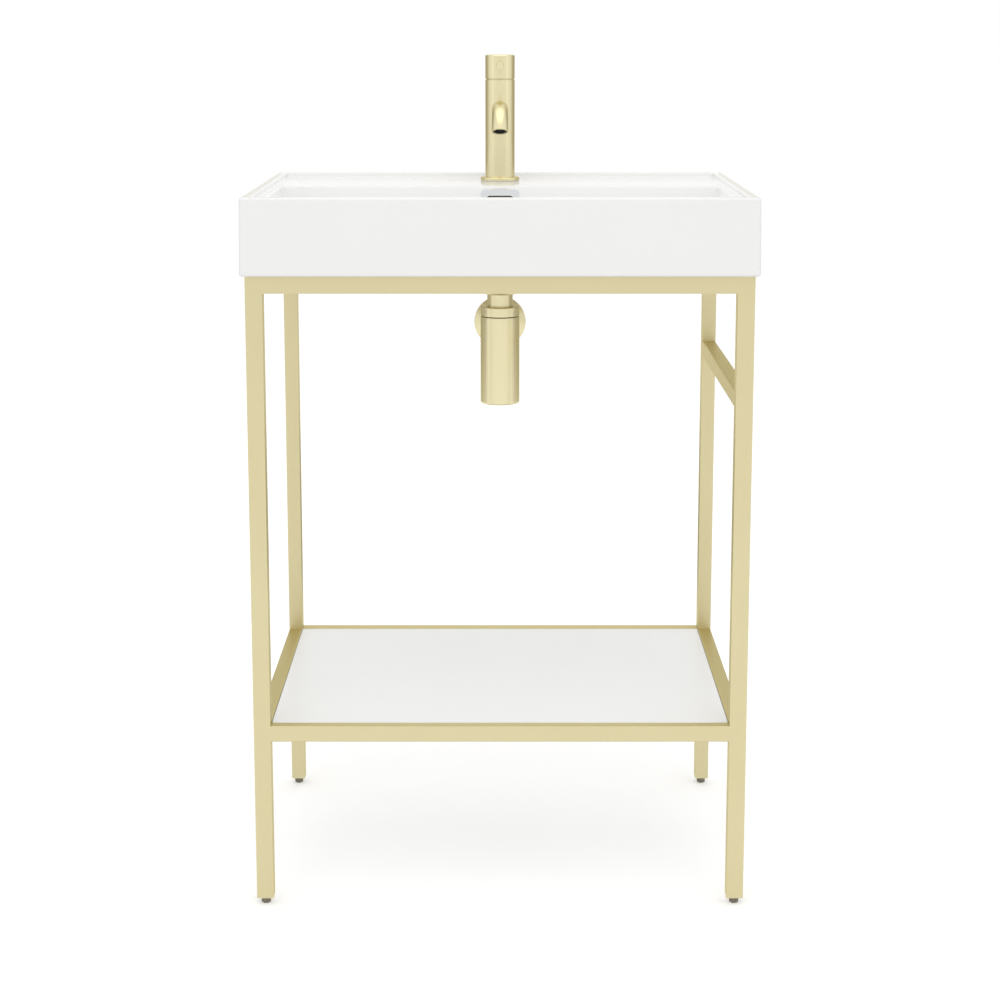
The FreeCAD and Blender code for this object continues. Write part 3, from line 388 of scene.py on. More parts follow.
# ---- basin ----
basin_low, basin_high = span("basin")
rim_z = basin_high.z
belly_z = basin_low.z
basin_base = span("basin_pads")[1].z
deck_z = span("tap_gasket")[0].z
waste_low, waste_high = span("waste_plug")
waste = Vector((0, (waste_low.y + waste_high.y) / 2, 0))
DRAFT, RIM, LEDGE = 1.4, 12.6, 8.0
BOWL_BACK, BOWL_DEPTH, BOWL_CORNER = 57.0, 72.2, 22.0
SIDE_SLOPE, END_SLOPE = math.radians(24), math.radians(9)
LIP_ROUND, FLOOR_ROUND, FLOOR_FALL = 3.4, 16.0, 4.0
FALL_START, FALL_WIDTH = 30.0, 65.0  # from the waste outwards: level at first, then up to the floor
TAP_HOLE, WASTE_HOLE, WASTE_SEAT = 17.5, 22.5, 32.0
OVERFLOW_DROP = 16.0
DUCT_HALF, DUCT_RISE, DUCT_DEPTH = 17.3, 4.3, 15.0
HOLLOW_HALF, HOLLOW_FRONT, HOLLOW_BACK, DECK_THICKNESS = 264.0, 87.0, 206.0, 10.0
MOUTH_HALF = basin_high.x - DRAFT - RIM - LEDGE
MOUTH_FRONT = basin_low.y + DRAFT + RIM + LEDGE
floor_z = deck_z - BOWL_DEPTH


def outer(z, inset, radius):
    """Outline of the basin at a height: its front and sides lean in, and its back is upright."""
    lean = DRAFT * max(0.0, z - basin_base) / (rim_z - basin_base)
    half, front, back = basin_high.x - lean - inset, basin_low.y + lean + inset, basin_high.y - inset
    return outline(half, front, back, z, radius)


def wall_offset(depth, slope):
    """How far the bowl's wall stands in from its mouth at a depth, with its lip and its floor rounded."""
    lip = LIP_ROUND * math.tan((math.pi / 2 - slope) / 2)
    foot = FLOOR_ROUND * math.tan((math.pi / 2 - slope) / 2)
    if depth < lip * math.cos(slope):
        return math.sqrt(max(0.0, LIP_ROUND ** 2 - (LIP_ROUND - depth) ** 2)) - lip
    if depth > BOWL_DEPTH - foot * math.cos(slope):
        rise = depth - (BOWL_DEPTH - FLOOR_ROUND)
        return BOWL_DEPTH * math.tan(slope) + foot - math.sqrt(max(0.0, FLOOR_ROUND ** 2 - rise ** 2))
    return depth * math.tan(slope)


def bowl(depth):
    side, end = wall_offset(depth, SIDE_SLOPE), wall_offset(depth, END_SLOPE)
    corner = BOWL_CORNER - 0.7 * (end - depth * math.tan(END_SLOPE))
    return outline(MOUTH_HALF - side, MOUTH_FRONT + end, BOWL_BACK - end, deck_z - depth, corner)


def basin_mesh():
    """Underside, outside, rim, tap deck and bowl as one closed skin, with its holes cut after."""
    foot, rim, inner, cove, corner = 3.2, 3.0, 2.4, 3.4, 4.6  # roundings, from the bottom up
    half, front, back = 238.0, -193.0, 72.0  # the belly that hangs below the sides
    belly = [
        (60.0, belly_z), (6.0, belly_z), (3.0, belly_z), (0.9, belly_z + 0.9), (0.0, belly_z + 3),
        (0.0, basin_base),
    ]
    rings = [
        outline(half - inset, front + inset, back - inset, z, max(8.0, BOWL_CORNER - inset))
        for inset, z in belly
    ]
    for a in quarter(6):
        inset = foot * (1 - math.sin(a))
        rings.append(outer(basin_base + foot * (1 - math.cos(a)), inset, corner - inset))
    # Level rings close to each rounding keep the shading of the flat faces between them even.
    rings += [outer(basin_base + foot + 2, 0, corner), outer(rim_z - rim - 2, 0, corner)]
    for a in quarter(6):
        inset = rim * (1 - math.cos(a))
        rings.append(outer(rim_z - rim * (1 - math.sin(a)), inset, corner - inset))
    rings += [outer(rim_z, rim + 1.0, 3.0), outer(rim_z, RIM - inner - 1.0, 5.0)]
    for a in quarter(5):
        drop, inset = inner * (1 - math.cos(a)), RIM - inner + inner * math.sin(a)
        rings.append(outer(rim_z - drop, inset, 5.4))
    for a in quarter(6):
        rise, inset = cove * (1 - math.sin(a)), RIM + cove * (1 - math.cos(a))
        rings.append(outer(deck_z + rise, inset, 7.0))
    depths = [LIP_ROUND * (1 - math.cos(a)) for a in quarter(7, 80)]
    depths += [5.0, 14.0, 28.0, 42.0, 52.0]
    depths += [BOWL_DEPTH - FLOOR_ROUND * (1 - math.sin(a)) for a in quarter(10)]
    rings += [bowl(depth) for depth in depths]
    edge = rings[-1]
    for share in (0.08, 0.2, 0.34, 0.48, 0.6, 0.7, 0.78, 0.85, 0.93):
        ring = []
        for p in edge:
            x, y = p.x + (waste.x - p.x) * share, p.y + (waste.y - p.y) * share
            near = 1 - (math.hypot(x - waste.x, y - waste.y) - FALL_START) / FALL_WIDTH
            near = min(1.0, max(0.0, near))
            fall = FLOOR_FALL * near ** 2 * (3 - 2 * near)
            ring.append(Vector((x, y, floor_z - min(fall, FLOOR_FALL * share * 2.2))))
        rings.append(ring)
    return lofted(rings)


def on_back_wall(drop):
    """Place on the bowl's back wall: x across it, y up it and z out of it."""
    point = Vector((0, BOWL_BACK - drop * math.sin(END_SLOPE), deck_z - drop * math.cos(END_SLOPE)))
    return Matrix.Translation(point) @ Matrix.Rotation(math.pi / 2 - END_SLOPE, 4, "X")


OVERFLOW = on_back_wall(OVERFLOW_DROP)
tap_low, tap_high = span("tap_body")
tap = Vector((0, (tap_low.y + tap_high.y) / 2, 0))
gasket_z = span("waste_gasket")[0].z
basin_holes = [
    lofted([
        outline(HOLLOW_HALF, HOLLOW_FRONT, HOLLOW_BACK, z, 8.0)
        for z in (basin_base - 5, deck_z - DECK_THICKNESS)
    ]),
    rod(TAP_HOLE, -20, 6, tap + UP * deck_z, UP, 64),
    turned([
        (0, belly_z - 5, 0), (WASTE_HOLE, belly_z - 5, 0), (WASTE_HOLE, gasket_z, 0),
        (WASTE_SEAT, gasket_z, 0), (WASTE_SEAT, floor_z + 3, 0), (0, floor_z + 3, 0),
    ], waste),
    lofted([
        [OVERFLOW @ p for p in outline(DUCT_HALF, -DUCT_RISE, DUCT_RISE, z, 4.2)]
        for z in (-DUCT_DEPTH, 2.0)
    ]),
]


def bare_or_glazed(centre):
    """0 for bare clay: the underside, the hollow below the tap deck and the overflow's duct. 1 for glaze."""
    near = 1.0  # how far outside a hollow its own walls are still looked for
    at = OVERFLOW.inverted() @ centre
    below = centre.z < basin_base + 0.5
    in_hollow = (
        abs(centre.x) < HOLLOW_HALF + near and HOLLOW_FRONT - near < centre.y < HOLLOW_BACK + near
        and centre.z < deck_z - DECK_THICKNESS + near)
    in_duct = (
        abs(at.x) < DUCT_HALF + near and abs(at.y) < DUCT_RISE + near
        and -DUCT_DEPTH - near < at.z < -near)
    return int(not (below or in_hollow or in_duct))


basin = joined(basin_mesh(), basin_holes, "DIFFERENCE")
finish(
    "glazed_basin", basin, ([bare_fireclay, glazed_fireclay], bare_or_glazed), FIXED,
    ["basin"], sharp=40)


def overflow_trim_mesh():
    """Pressed plate with a flat slot; the slot's sleeve reaches back through the ceramic."""
    plate = (24.25, 12.0, 7.0)  # half width, half height, corner
    slot = (16.0, 3.0, 2.95)
    face, edge, lip, sleeve, wall = 1.6, 0.85, 0.4, 7.0, 1.2

    def ring(size, z, inset=0.0):
        half, high, radius = size
        return outline(half - inset, inset - high, high - inset, z, max(0.3, radius - inset))

    rings = [ring(plate, 0.0), ring(plate, face - edge)]
    rings += [
        ring(plate, face - edge * (1 - math.sin(a)), edge * (1 - math.cos(a))) for a in quarter(5)]
    rings += [ring(slot, face - lip * (1 - math.cos(a)), lip * math.sin(a) - lip) for a in quarter(4)]
    rings += [ring(slot, -sleeve), ring(slot, -sleeve, -wall), ring(slot, 0.0, -wall)]
    return lofted([[OVERFLOW @ p for p in one] for one in rings], closed=True)


def sleeve_or_plate(centre):
    """The sleeve behind the slot is black, painted shade for the hollow behind it: 1 for its faces, and 0
    for the plate's.
    """
    return int((OVERFLOW.inverted() @ centre).z < -0.2)


finish(
    "overflow_plate", overflow_trim_mesh(), ([bright_chrome, black_acetal_painted_shade], sleeve_or_plate), FIXED,
    ["overflow_trim"])

# ---- plug of the waste: a low dome on a short hub ----
PLUG_HEIGHT, PLUG_RADIUS, HUB_RADIUS, HUB_LENGTH = 5.0, 30.0, 7.5, 5.0
plug = turned([
    (0, -HUB_LENGTH, 0), (HUB_RADIUS, -HUB_LENGTH, 0.4), (HUB_RADIUS, 0, 0.3), (PLUG_RADIUS, 0, 0.7),
    (PLUG_RADIUS, 2.7, 1.6), (24, 4.6, 12), (0, PLUG_HEIGHT, 0),
], waste + UP * (waste_high.z - PLUG_HEIGHT))
finish("domed_waste_plug", plug, bright_chrome, "waste_plug", ["waste_plug"])

# ---- frame: legs and top rails welded and ground flush, the lower rails butted between the legs ----
EDGE = 1.75
WALL_SCREW_HOLE, WALL_SCREW_SPACING = 6.5, 400.0
LEGS = ["leg_front_left", "leg_front_right", "leg_rear_left", "leg_rear_right"]
TOP_RAILS = ["top_rail_front", "top_rail_rear", "top_rail_left", "top_rail_right"]


def run_of(centre):
    """Which way the tube runs at a point of the welded frame: 0 across, 1 front to back, 2 upright."""
    inner = span("top_rail_front")[1].x
    front, rear = span("top_rail_left")[0].y, span("top_rail_left")[1].y
    if abs(centre.x) < inner:
        return 0
    return 1 if front < centre.y < rear else 2


tubes = [block(*span(node)) for node in LEGS + TOP_RAILS]
welded = softened(joined(tubes[0], tubes[1:], "UNION"), EDGE, 4)
rear_low, rear_high = span("top_rail_rear")
screw_z = (rear_low.z + rear_high.z) / 2
screw_holes = [
    rod(WALL_SCREW_HOLE / 2, -30, 30, Vector((x, rear_low.y, screw_z)), BACK, 48)
    for x in (-WALL_SCREW_SPACING / 2, WALL_SCREW_SPACING / 2)
]
welded = joined(welded, screw_holes, "DIFFERENCE")
silks = [plated_along[axis] for axis in "xyz"]
finish("welded_tube_frame", welded, (silks, run_of), FIXED, LEGS + TOP_RAILS)


def tube(node):
    """Square tube between two legs, its long edges rounded and its ends flat."""
    low, high = span(node)
    size = high - low
    run = max(range(3), key=lambda i: size[i])
    across = [i for i in range(3) if i != run]
    half = [size[i] / 2 for i in across]
    middle = (low + high) / 2
    ends = []
    for end in (low[run], high[run]):
        ring = []
        for p in outline(half[0], -half[1], half[1], 0, EDGE, 2, 5):
            point = middle.copy()
            point[across[0]] += p.x
            point[across[1]] += p.y
            point[run] = end
            ring.append(point)
        ends.append(ring)
    finish(f"{node}_tube", lofted(ends), silks[run], FIXED, [node])


for node in (
        "shelf_rail_front", "shelf_rail_rear", "shelf_rail_left", "shelf_rail_right", "towel_rail"):
    tube(node)

# ---- shelf ----
board = softened(block(*span("shelf_board")), 0.9, 3)
finish("lacquered_shelf", board, sprayed_lacquer, FIXED, ["shelf_board"])


# ---- Geometry Nodes: trees with named sizes ----
def new_tree(name, sizes):
    """Empty tree with an input for each size: a length, an angle, a number, an object or a material."""
    kinds = {float: "Float", bpy.types.Object: "Object", bpy.types.Material: "Material"}
    tree = bpy.data.node_groups.new(name, "GeometryNodeTree")
    tree.interface.new_socket("Geometry", in_out="INPUT", socket_type="NodeSocketGeometry")
    tree.interface.new_socket("Geometry", in_out="OUTPUT", socket_type="NodeSocketGeometry")
    for label, value in sizes.items():
        tree.interface.new_socket(label, in_out="INPUT", socket_type="NodeSocket" + kinds[type(value)])
    return tree, tree.nodes.new("NodeGroupInput").outputs


def ended(tree, geometry, material):
    real = add(tree, "GeometryNodeRealizeInstances", {0: geometry})
    painted = add(tree, "GeometryNodeSetMaterial", {"Geometry": real.outputs[0], "Material": material})
    add(tree, "NodeGroupOutput", {0: painted.outputs[0]})


def grown(tree, sizes, start=None):
    """The mesh that a tree makes from these sizes."""
    obj = placed("grown", start or bpy.data.meshes.new("start"))
    modifier = obj.modifiers.new("tree", "NODES")
    modifier.node_group = tree
    for item in tree.interface.items_tree:
        if item.item_type == "SOCKET" and item.in_out == "INPUT" and item.name in sizes:
            modifier[item.identifier] = sizes[item.name]
    return evaluated(obj)


def sums(tree, operation, *values):
    return add(tree, "ShaderNodeMath", dict(enumerate(values)), operation=operation).outputs[0]


def vector(tree, x=0.0, y=0.0, z=0.0):
    return add(tree, "ShaderNodeCombineXYZ", {0: x, 1: y, 2: z}).outputs[0]


def moved(mesh, offset):
    mesh.transform(Matrix.Translation(offset))
    return mesh


def brass(name, mesh, material, node, body=FIXED):
    """Finishes a piece of turned brass, which stands for one node."""
    finish(name, mesh, material, body, [node])


# ---- tap ----
FLANGE_RADIUS, FLANGE_HEIGHT = 25.35, 4.7
TAP_RADIUS, TAP_HEIGHT, TAP_BORE, BORE_DEPTH = 19.2, 130.5, 16.1, 9.5
GROOVE_DEPTH = 1.2
rim_height = tap_high.z - tap_low.z
brass("turned_tap_body", turned([
    (0, 0, 0), (FLANGE_RADIUS, 0, 0.8), (FLANGE_RADIUS, FLANGE_HEIGHT, 1.8),
    (TAP_RADIUS, FLANGE_HEIGHT, 0.8), (TAP_RADIUS, TAP_HEIGHT, 0.6),
    (TAP_RADIUS - GROOVE_DEPTH, TAP_HEIGHT, 0.2), (TAP_RADIUS - GROOVE_DEPTH, rim_height, 0.2),
    (TAP_BORE, rim_height, 0.2), (TAP_BORE, TAP_HEIGHT - BORE_DEPTH, 0), (0, TAP_HEIGHT - BORE_DEPTH, 0),
], tap + UP * tap_low.z, UP, 160), brushed_upright, "tap_body")

SPOUT_RISE, SPOUT_ROOT = 93.8, 11.2  # above the deck, and in front of the tap's axis
SPOUT = {
    "Straight": 66.89, "Bend Radius": 32.0, "Turn": math.radians(66.6), "Tip": 6.4, "Diameter": 21.0,
    "Mouth": 17.5, "Mouth Depth": 11.0, "Metal": brushed_level,
}


def spout_tree():
    """Round tube: a level run, a bend down and a short tip, bored at the mouth."""
    tree, size = new_tree("bent_spout", SPOUT)
    half_turn = sums(tree, "DIVIDE", size["Turn"], 2.0)
    tangent = sums(tree, "MULTIPLY", size["Bend Radius"], sums(tree, "TANGENT", half_turn))
    corner = vector(tree, y=sums(tree, "MULTIPLY", sums(tree, "ADD", size["Straight"], tangent), -1.0))
    down = vector(
        tree, y=sums(tree, "MULTIPLY", sums(tree, "COSINE", size["Turn"]), -1.0),
        z=sums(tree, "MULTIPLY", sums(tree, "SINE", size["Turn"]), -1.0))

    def past(point, distance):
        step = add(tree, "ShaderNodeVectorMath", {0: down, "Scale": distance}, operation="SCALE").outputs[0]
        return add(tree, "ShaderNodeVectorMath", {0: point, 1: step}, operation="ADD").outputs[0]

    end = past(corner, sums(tree, "ADD", tangent, size["Tip"]))
    points = add(tree, "GeometryNodeIndexSwitch", data_type="VECTOR")
    points.index_switch_items.new()
    tree.links.new(add(tree, "GeometryNodeInputIndex").outputs[0], points.inputs[0])
    tree.links.new(corner, points.inputs[2])
    tree.links.new(end, points.inputs[3])
    three_points = add(tree, "GeometryNodeMeshLine", {"Count": 3})
    line = add(tree, "GeometryNodeMeshToCurve", {0: three_points.outputs[0]})
    run = add(tree, "GeometryNodeSetPosition", {"Geometry": line.outputs[0], "Position": points.outputs[0]})
    path = add(tree, "GeometryNodeFilletCurve", {
        "Curve": run.outputs[0], "Count": 40, "Radius": size["Bend Radius"]}, mode="POLY")

    def swept(curve, diameter):
        circle = add(tree, "GeometryNodeCurvePrimitiveCircle", {
            "Resolution": 96, "Radius": sums(tree, "DIVIDE", diameter, 2.0)})
        return add(tree, "GeometryNodeCurveToMesh", {
            "Curve": curve, "Profile Curve": circle.outputs[0], "Fill Caps": True}).outputs[0]

    back = past(end, sums(tree, "MULTIPLY", size["Mouth Depth"], -1.0))
    bore = add(tree, "GeometryNodeCurvePrimitiveLine", {"Start": past(end, 2.0), "End": back})
    hollow = add(tree, "GeometryNodeMeshBoolean", {
        0: swept(path.outputs[0], size["Diameter"]), 1: swept(bore.outputs[0], size["Mouth"]),
    }, operation="DIFFERENCE", solver="EXACT")
    ended(tree, hollow.outputs[0], size["Metal"])
    return tree


spout_root = tap + Vector((0, -SPOUT_ROOT, deck_z + SPOUT_RISE))
spout = softened(moved(grown(spout_tree(), SPOUT), spout_root), 0.5, 3)
brass("bent_spout", spout, brushed_level, "tap_spout")

# ---- handle: a hollow cap relieved behind for its lift, and its pin lever ----
HANDLE_HEIGHT, HANDLE_ROOF, HANDLE_BORE = 30.8, 5.0, 16.5
STEM_SOCKET, STEM_SOCKET_LENGTH = 7.0, 14.5
LEVER_RISE, LEVER_RADIUS, LEVER_PIN, LEVER_SEAT, LEVER_PLAY = 17.0, 5.0, 3.0, 17.0, 0.12
GRUB_RADIUS = 2.0
RELIEF_SLOPE, RELIEF_REACH = math.tan(math.radians(19.5)), 22.0
handle_z = span("handle_cap")[0].z
lever_at = tap + UP * (handle_z + LEVER_RISE)
lever_end = tap.y - span("handle_lever")[0].y
roof = HANDLE_HEIGHT - HANDLE_ROOF
cap = turned([
    (0, roof - STEM_SOCKET_LENGTH, 0), (STEM_SOCKET, roof - STEM_SOCKET_LENGTH, 0.5),
    (STEM_SOCKET, roof, 0.5), (HANDLE_BORE, roof, 1.0), (HANDLE_BORE, 0, 0.3), (TAP_RADIUS, 0, 0.5),
    (TAP_RADIUS, HANDLE_HEIGHT, 2.0), (0, HANDLE_HEIGHT, 0),
], tap + UP * handle_z, UP, 160)
relief = [(0, -1), (RELIEF_REACH, -1), (RELIEF_REACH, RELIEF_REACH * RELIEF_SLOPE), (0, 0)]
wedge = lofted([
    [tap + Vector((x, y, handle_z + z)) for y, z in relief]
    for x in (-TAP_RADIUS - 1.8, TAP_RADIUS + 1.8)
])
grub_hole = rod(GRUB_RADIUS, 4, 30, lever_at, BACK, 48)
lever_hole = rod(LEVER_RADIUS + LEVER_PLAY, LEVER_SEAT, 30, lever_at, FRONT, 64)
cap = joined(cap, [wedge, grub_hole, lever_hole], "DIFFERENCE")
brass("round_handle_cap", cap, brushed_upright, "handle_cap", "tap_handle")
brass("pin_lever", turned([
    (0, 10, 0), (LEVER_PIN, 10, 0), (LEVER_PIN, LEVER_SEAT, 0), (LEVER_RADIUS, LEVER_SEAT, 0.2),
    (LEVER_RADIUS, lever_end, 0.8), (0, lever_end, 0),
], lever_at, FRONT, 96), brushed_level, "handle_lever", "tap_handle")

# ---- bottle trap ----
PIPE_RADIUS, PIPE_BORE = 16.0, 14.5
COLLAR_RADIUS, COLLAR_HEIGHT, COLLAR_BORE = 24.0, 20.0, 20.95
PIPE_FLARE, FLARE_HEIGHT = 19.5, 3.0
BOTTLE_RADIUS, CAP_HEIGHT, CAP_ROOF = 24.5, 11.6, 3.0
NECK_RADIUS, NECK_BORE, SHOULDER_RISE, NECK_RISE = 22.5, 20.5, 110.5, 118.5
SOCKET_RADIUS, SOCKET_REACH = 19.0, 54.5
OUTLET_COLLAR_RADIUS, OUTLET_COLLAR_LENGTH = 22.0, 18.0
DISC_RADIUS, DISC_EDGE, DISC_DEPTH = 35.0, 2.0, 7.0
outlet_low, outlet_high = span("trap_outlet_pipe")
outlet_z = (outlet_low.z + outlet_high.z) / 2
outlet_length = outlet_high.y - outlet_low.y
pipe_low, pipe_high = span("trap_inlet_pipe")
flare_z, pipe_top = pipe_high.z - pipe_low.z - FLARE_HEIGHT, pipe_high.z - pipe_low.z
trap_base = span("trap_body")[0].z
brass("trap_collar_nut", turned([
    (PIPE_RADIUS, 0, 0.4), (20, 0, 1.5), (COLLAR_RADIUS, 5, 2.0), (COLLAR_RADIUS, COLLAR_HEIGHT, 0.8),
    (COLLAR_BORE, COLLAR_HEIGHT, 0.4), (COLLAR_BORE, 6, 0), (PIPE_RADIUS, 6, 0),
], waste + UP * span("trap_coupling_nut")[0].z), brushed_upright, "trap_coupling_nut")
brass("trap_down_pipe", turned([
    (PIPE_BORE, 0, 0), (PIPE_RADIUS, 0, 0.3), (PIPE_RADIUS, flare_z, 0), (PIPE_FLARE, flare_z, 0),
    (PIPE_FLARE, pipe_top, 0), (PIPE_BORE, pipe_top, 0),
], waste + UP * pipe_low.z), brushed_upright, "trap_inlet_pipe")
brass("trap_screwed_cap", turned([
    (NECK_RADIUS, 0, 0), (BOTTLE_RADIUS, 0, 0.4), (BOTTLE_RADIUS, CAP_HEIGHT, 1.0),
    (PIPE_RADIUS, CAP_HEIGHT, 0.5), (PIPE_RADIUS, CAP_HEIGHT - CAP_ROOF, 0),
    (NECK_RADIUS, CAP_HEIGHT - CAP_ROOF, 0),
], waste + UP * span("trap_cap")[0].z), brushed_upright, "trap_cap")
socket = turned([
    (0, 0, 0), (SOCKET_RADIUS, 0, 0), (SOCKET_RADIUS, SOCKET_REACH, 0.5), (PIPE_RADIUS, SOCKET_REACH, 0.3),
    (PIPE_RADIUS, 30, 0), (0, 30, 0),
], waste + UP * outlet_z, BACK, 96)
bottle = turned([
    (0, 0, 0), (BOTTLE_RADIUS, 0, 3.0), (BOTTLE_RADIUS, SHOULDER_RISE, 0.4), (NECK_RADIUS, SHOULDER_RISE, 0),
    (NECK_RADIUS, NECK_RISE, 0.4), (NECK_BORE, NECK_RISE, 0.4), (NECK_BORE, SHOULDER_RISE + 1.5, 0),
    (0, SHOULDER_RISE + 1.5, 0),
], waste + UP * trap_base)


def body_or_shaded_neck(centre):
    """1 for the bottle's neck, coloured dark as painted shade for the groove below the cap, and 0 for the
    rest.
    """
    from_axis = math.hypot(centre.x - waste.x, centre.y - waste.y)
    return int(centre.z > trap_base + SHOULDER_RISE and from_axis < NECK_RADIUS + 0.5)


bottle = joined(bottle, [socket], "UNION")
# The neck's dark brass is painted shade for the groove below the cap.
brass("trap_bottle", bottle, ([brushed_upright, neck_shade_brass], body_or_shaded_neck), "trap_body")
brass("trap_outlet_collar", turned([
    (SOCKET_RADIUS, 0, 0.3), (OUTLET_COLLAR_RADIUS, 0, 0.8),
    (OUTLET_COLLAR_RADIUS, OUTLET_COLLAR_LENGTH, 1.6), (PIPE_RADIUS, OUTLET_COLLAR_LENGTH, 0.4),
    (PIPE_RADIUS, 14, 0), (SOCKET_RADIUS, 14, 0),
], Vector((0, span("trap_outlet_nut")[0].y, outlet_z)), BACK), brushed_level, "trap_outlet_nut")
brass("trap_wall_pipe", turned([
    (PIPE_BORE, 0, 0.3), (PIPE_RADIUS, 0, 0.3), (PIPE_RADIUS, outlet_length, 0.3),
    (PIPE_BORE, outlet_length, 0.3),
], Vector((0, outlet_low.y, outlet_z)), BACK), brushed_level, "trap_outlet_pipe")
brass("dished_wall_disc", turned([
    (PIPE_RADIUS, 0, 0), (DISC_RADIUS, 0, 0), (DISC_RADIUS, DISC_EDGE, 0.7), (22, DISC_DEPTH, 4.0),
    (PIPE_RADIUS, DISC_DEPTH, 0.4),
], Vector((0, basin_high.y, outlet_z)), FRONT), brushed_level, "trap_wall_flange")

# ---- levelling feet, each a turned head on a threaded stud ----
HEAD_RADIUS, HEAD_HEIGHT, HEAD_CHAMFER = 5.75, 8.3, 1.4
STUD_RADIUS, STUD_TOP = 3.4, 37.6
THREAD_START, THREAD_LENGTH, PITCH = 8.4, 29.0, 1.25
THREAD = {
    "Diameter": 8.0, "Pitch": PITCH, "Length": THREAD_LENGTH, "Turns": THREAD_LENGTH / PITCH,
    "Metal": blackened_steel,
}


def thread_tree():
    """Helical ridge for a screw thread."""
    tree, size = new_tree("screw_thread", THREAD)
    depth = sums(tree, "MULTIPLY", size["Pitch"], 0.55)
    radius = sums(tree, "SUBTRACT", sums(tree, "DIVIDE", size["Diameter"], 2.0), depth)
    helix = add(tree, "GeometryNodeCurveSpiral", {
        "Resolution": 24, "Rotations": size["Turns"], "Start Radius": radius, "End Radius": radius,
        "Height": size["Length"]})
    level = add(tree, "GeometryNodeSetCurveNormal", {"Curve": helix.outputs[0]}, mode="Z_UP")
    ridge = add(tree, "GeometryNodeCurvePrimitiveCircle", {"Resolution": 3, "Radius": depth})
    swept = add(tree, "GeometryNodeCurveToMesh", {
        "Curve": level.outputs[0], "Profile Curve": ridge.outputs[0], "Fill Caps": True})
    ended(tree, swept.outputs[0], size["Metal"])
    return tree


def both(first, second):
    """Two closed meshes as one; they may reach into each other."""
    shape = bmesh.new()
    shape.from_mesh(first)
    shape.from_mesh(second)
    return mesh_of("both", shape)


thread = thread_tree()
for foot in ("front_left", "front_right", "rear_left", "rear_right"):
    low, high = span(f"foot_{foot}")
    centre = Vector(((low.x + high.x) / 2, (low.y + high.y) / 2, 0))
    head = turned([
        (0, 0, 0), (HEAD_RADIUS - HEAD_CHAMFER, 0, 0.3), (HEAD_RADIUS, HEAD_CHAMFER, 0.4),
        (HEAD_RADIUS, HEAD_HEIGHT, 0.5), (STUD_RADIUS, HEAD_HEIGHT, 0), (STUD_RADIUS, STUD_TOP, 0.6),
        (0, STUD_TOP, 0),
    ], centre, UP, 64)
    ridge = moved(grown(thread, THREAD), centre + UP * THREAD_START)
    finish(
        f"levelling_foot_{foot}", both(head, ridge), blackened_steel, f"foot_{foot}",
        [f"foot_{foot}"])

# ---- shelf screws: pan heads with a cross recess, driven up through the tabs ----
PAN_RADIUS, PAN_HEIGHT, SHANK_RADIUS, SHANK_END = 4.0, 2.4, 2.0, 13.4
RECESS_REACH, RECESS_HALF, RECESS_DEPTH = 2.2, 0.45, 1.1
screw = turned([
    (0, 0, 0), (2.6, 0, 0.8), (PAN_RADIUS, 1.3, 0.8), (PAN_RADIUS, PAN_HEIGHT, 0.2),
    (SHANK_RADIUS, PAN_HEIGHT, 0), (SHANK_RADIUS, SHANK_END, 0.8), (0, SHANK_END, 0),
], Vector(), UP, 32)
recess = [
    block((-x, -y, -1), (x, y, RECESS_DEPTH))
    for x, y in ((RECESS_REACH, RECESS_HALF), (RECESS_HALF, RECESS_REACH))
]
screw = placed("screw", joined(screw, recess, "DIFFERENCE"))
SCREWS = {"Screw": screw, "Metal": zinc_steel}
low, high = span("shelf_screws")
places = bmesh.new()
for x in (low.x + PAN_RADIUS, high.x - PAN_RADIUS):
    for y in (low.y + PAN_RADIUS, high.y - PAN_RADIUS):
        places.verts.new((x, y, low.z))
tree, size = new_tree("screws_at_points", SCREWS)
copy = add(tree, "GeometryNodeObjectInfo", {"Object": size["Screw"]})
each = add(tree, "GeometryNodeInstanceOnPoints", {
    "Points": size["Geometry"], "Instance": copy.outputs["Geometry"]})
ended(tree, each.outputs[0], size["Metal"])
screws = grown(tree, SCREWS, mesh_of("places", places))
bpy.data.objects.remove(screw)
finish("cross_head_screws", screws, zinc_steel, FIXED, ["shelf_screws"])


# ---- studio ----
def plane(name, corners, material):
    shape = bmesh.new()
    shape.faces.new([shape.verts.new(p) for p in corners])
    obj = placed(name, mesh_of(name, shape))
    obj.data.materials.append(material)


def seen_directly(tree):
    """1 for a ray from the camera or off a mirror-like or clear surface, else 0."""
    path = add(tree, "ShaderNodeLightPath").outputs
    return sums(
        tree, "MAXIMUM", path["Is Camera Ray"],
        sums(tree, "MAXIMUM", path["Is Glossy Ray"], path["Is Transmission Ray"]))


WORLD_LIGHT, FLOOR_LIFT = 0.86, 0.30
world = bpy.data.worlds.new("white_studio")
bpy.context.scene.world = world
world.use_nodes = True
sky = world.node_tree.nodes["Background"]
sky.inputs["Color"].default_value = (1, 1, 1, 1)
level = add(world.node_tree, "ShaderNodeMapRange", {
    "Value": seen_directly(world.node_tree), "To Min": WORLD_LIGHT, "To Max": 1.0})
world.node_tree.links.new(level.outputs[0], sky.inputs["Strength"])

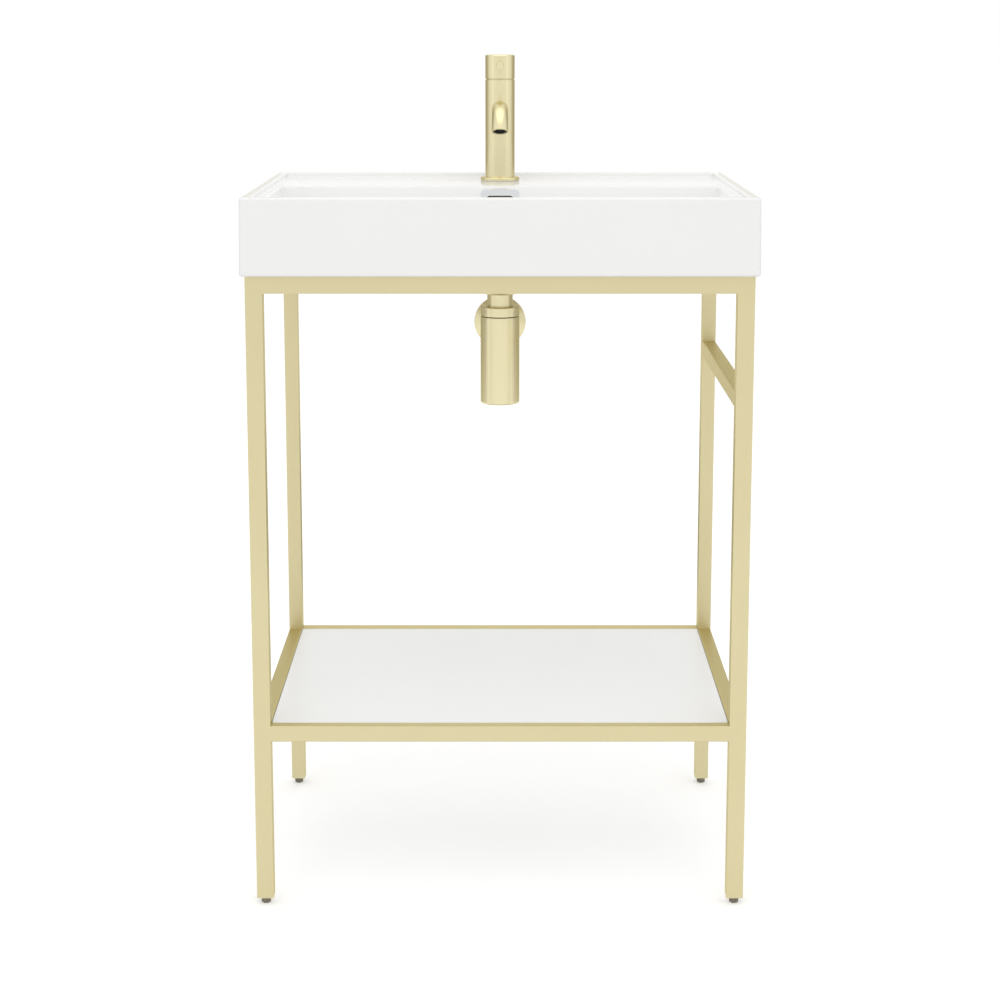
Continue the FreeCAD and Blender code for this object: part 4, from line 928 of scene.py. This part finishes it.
# Pale painted floor, lifted to white where it is seen, so that it keeps only the object's shadow.
pale_floor = bpy.data.materials.new("pale_studio_floor")
pale_floor.use_nodes = True
floor_tree = pale_floor.node_tree
paint = floor_tree.nodes["Principled BSDF"].inputs
paint["Base Color"].default_value = linear("#eeeeee")
paint["Roughness"].default_value = 0.9
paint["Specular IOR Level"].default_value = 0.0
paint["Emission Color"].default_value = (1, 1, 1, 1)
lift = sums(floor_tree, "MULTIPLY", seen_directly(floor_tree), FLOOR_LIFT)
floor_tree.links.new(lift, paint["Emission Strength"])
FLOOR_HALF = 30
corners = [(x * FLOOR_HALF, y * FLOOR_HALF, 0) for x, y in ((-1, -1), (1, -1), (1, 1), (-1, 1))]
plane("studio_floor", corners, pale_floor)
SCREEN_RADIUS, SCREEN_STEPS = 1.3, 12


# Cloths out of the camera's sight, which metal and glaze reflect. The grey screens give the round pieces
# dark flanks and the basin's side rims their soft grey, the card overhead is the sheen on the spout, and
# the cloth on the floor draws the dark line inside the front legs.
def cloth(name, strips, strength):
    """Glowing cloth of one level; strips are pairs of low and high edges, each a row of points."""
    material = bpy.data.materials.new(name)
    material.use_nodes = True
    tree = material.node_tree
    glow = add(tree, "ShaderNodeEmission", {"Color": (1.0, 0.97, 0.86, 1), "Strength": strength})
    tree.links.new(glow.outputs[0], tree.nodes["Material Output"].inputs["Surface"])
    shape = bmesh.new()
    for low, high in strips:
        made = [[shape.verts.new(p) for p in edge] for edge in (low, high)]
        for k in range(1, len(low)):
            shape.faces.new((made[0][k - 1], made[0][k], made[1][k], made[1][k - 1]))
    obj = placed(name, mesh_of(name, shape))
    obj.data.materials.append(material)
    obj.visible_camera = obj.visible_diffuse = obj.visible_transmission = obj.visible_shadow = False


def screen(first, last, low, high):
    """Upright strip round the object, between two angles from straight behind it and two heights."""
    turns = [math.radians(first + (last - first) * k / SCREEN_STEPS) for k in range(SCREEN_STEPS + 1)]
    edge = [(SCREEN_RADIUS * math.sin(a), SCREEN_RADIUS * math.cos(a)) for a in turns]
    return [[(x, y, z) for x, y in edge] for z in (low, high)]


def sheet(half, front, back, z):
    """Level strip."""
    return [[(x, front, z), (x, back, z)] for x in (-half, half)]


cloth("grey_screens", [
    screen(side * 26, side * last, low, high)
    for side in (-1, 1) for last, low, high in ((96, 0.34, 0.76), (70, 0.76, 1.7))
], 0.50)
cloth("pale_screens", [screen(side * 17.8, side * 26, 0.42, 1.7) for side in (-1, 1)], 0.78)
cloth("white_ceiling_card", [sheet(1.0, -1.1, 0.6, 2.4)], 1.8)
cloth("grey_floor_cloth", [sheet(0.5, 1.3, 3.0, 0.004)], 0.15)


def lamp(name, place, aim, size, power, mirrored=False):
    light = bpy.data.lights.new(name, "AREA")
    light.shape, light.size, light.size_y, light.energy = "RECTANGLE", size[0], size[1], power
    obj = bpy.data.objects.new(name, light)
    bpy.context.scene.collection.objects.link(obj)
    obj.location = place
    obj.rotation_euler = (Vector(aim) - Vector(place)).to_track_quat("-Z", "Y").to_euler()
    obj.visible_camera = False
    obj.visible_glossy = mirrored


lamp("overhead_softbox", (0, -2.0, 3.0), (0, 0, 0.7), (3.0, 3.0), 20)
lamp("left_softbox", (-2.5, -1.3, 1.3), (0, 0, 0.6), (1.0, 1.8), 1.1, True)
lamp("right_softbox", (2.5, -1.3, 1.3), (0, 0, 0.6), (1.0, 1.8), 1.1, True)
lamp("rear_softbox", (0, 2.3, 2.9), (0, 0, 0.7), (2.0, 1.0), 6)

bpy.context.scene.view_settings.view_transform = "Standard"
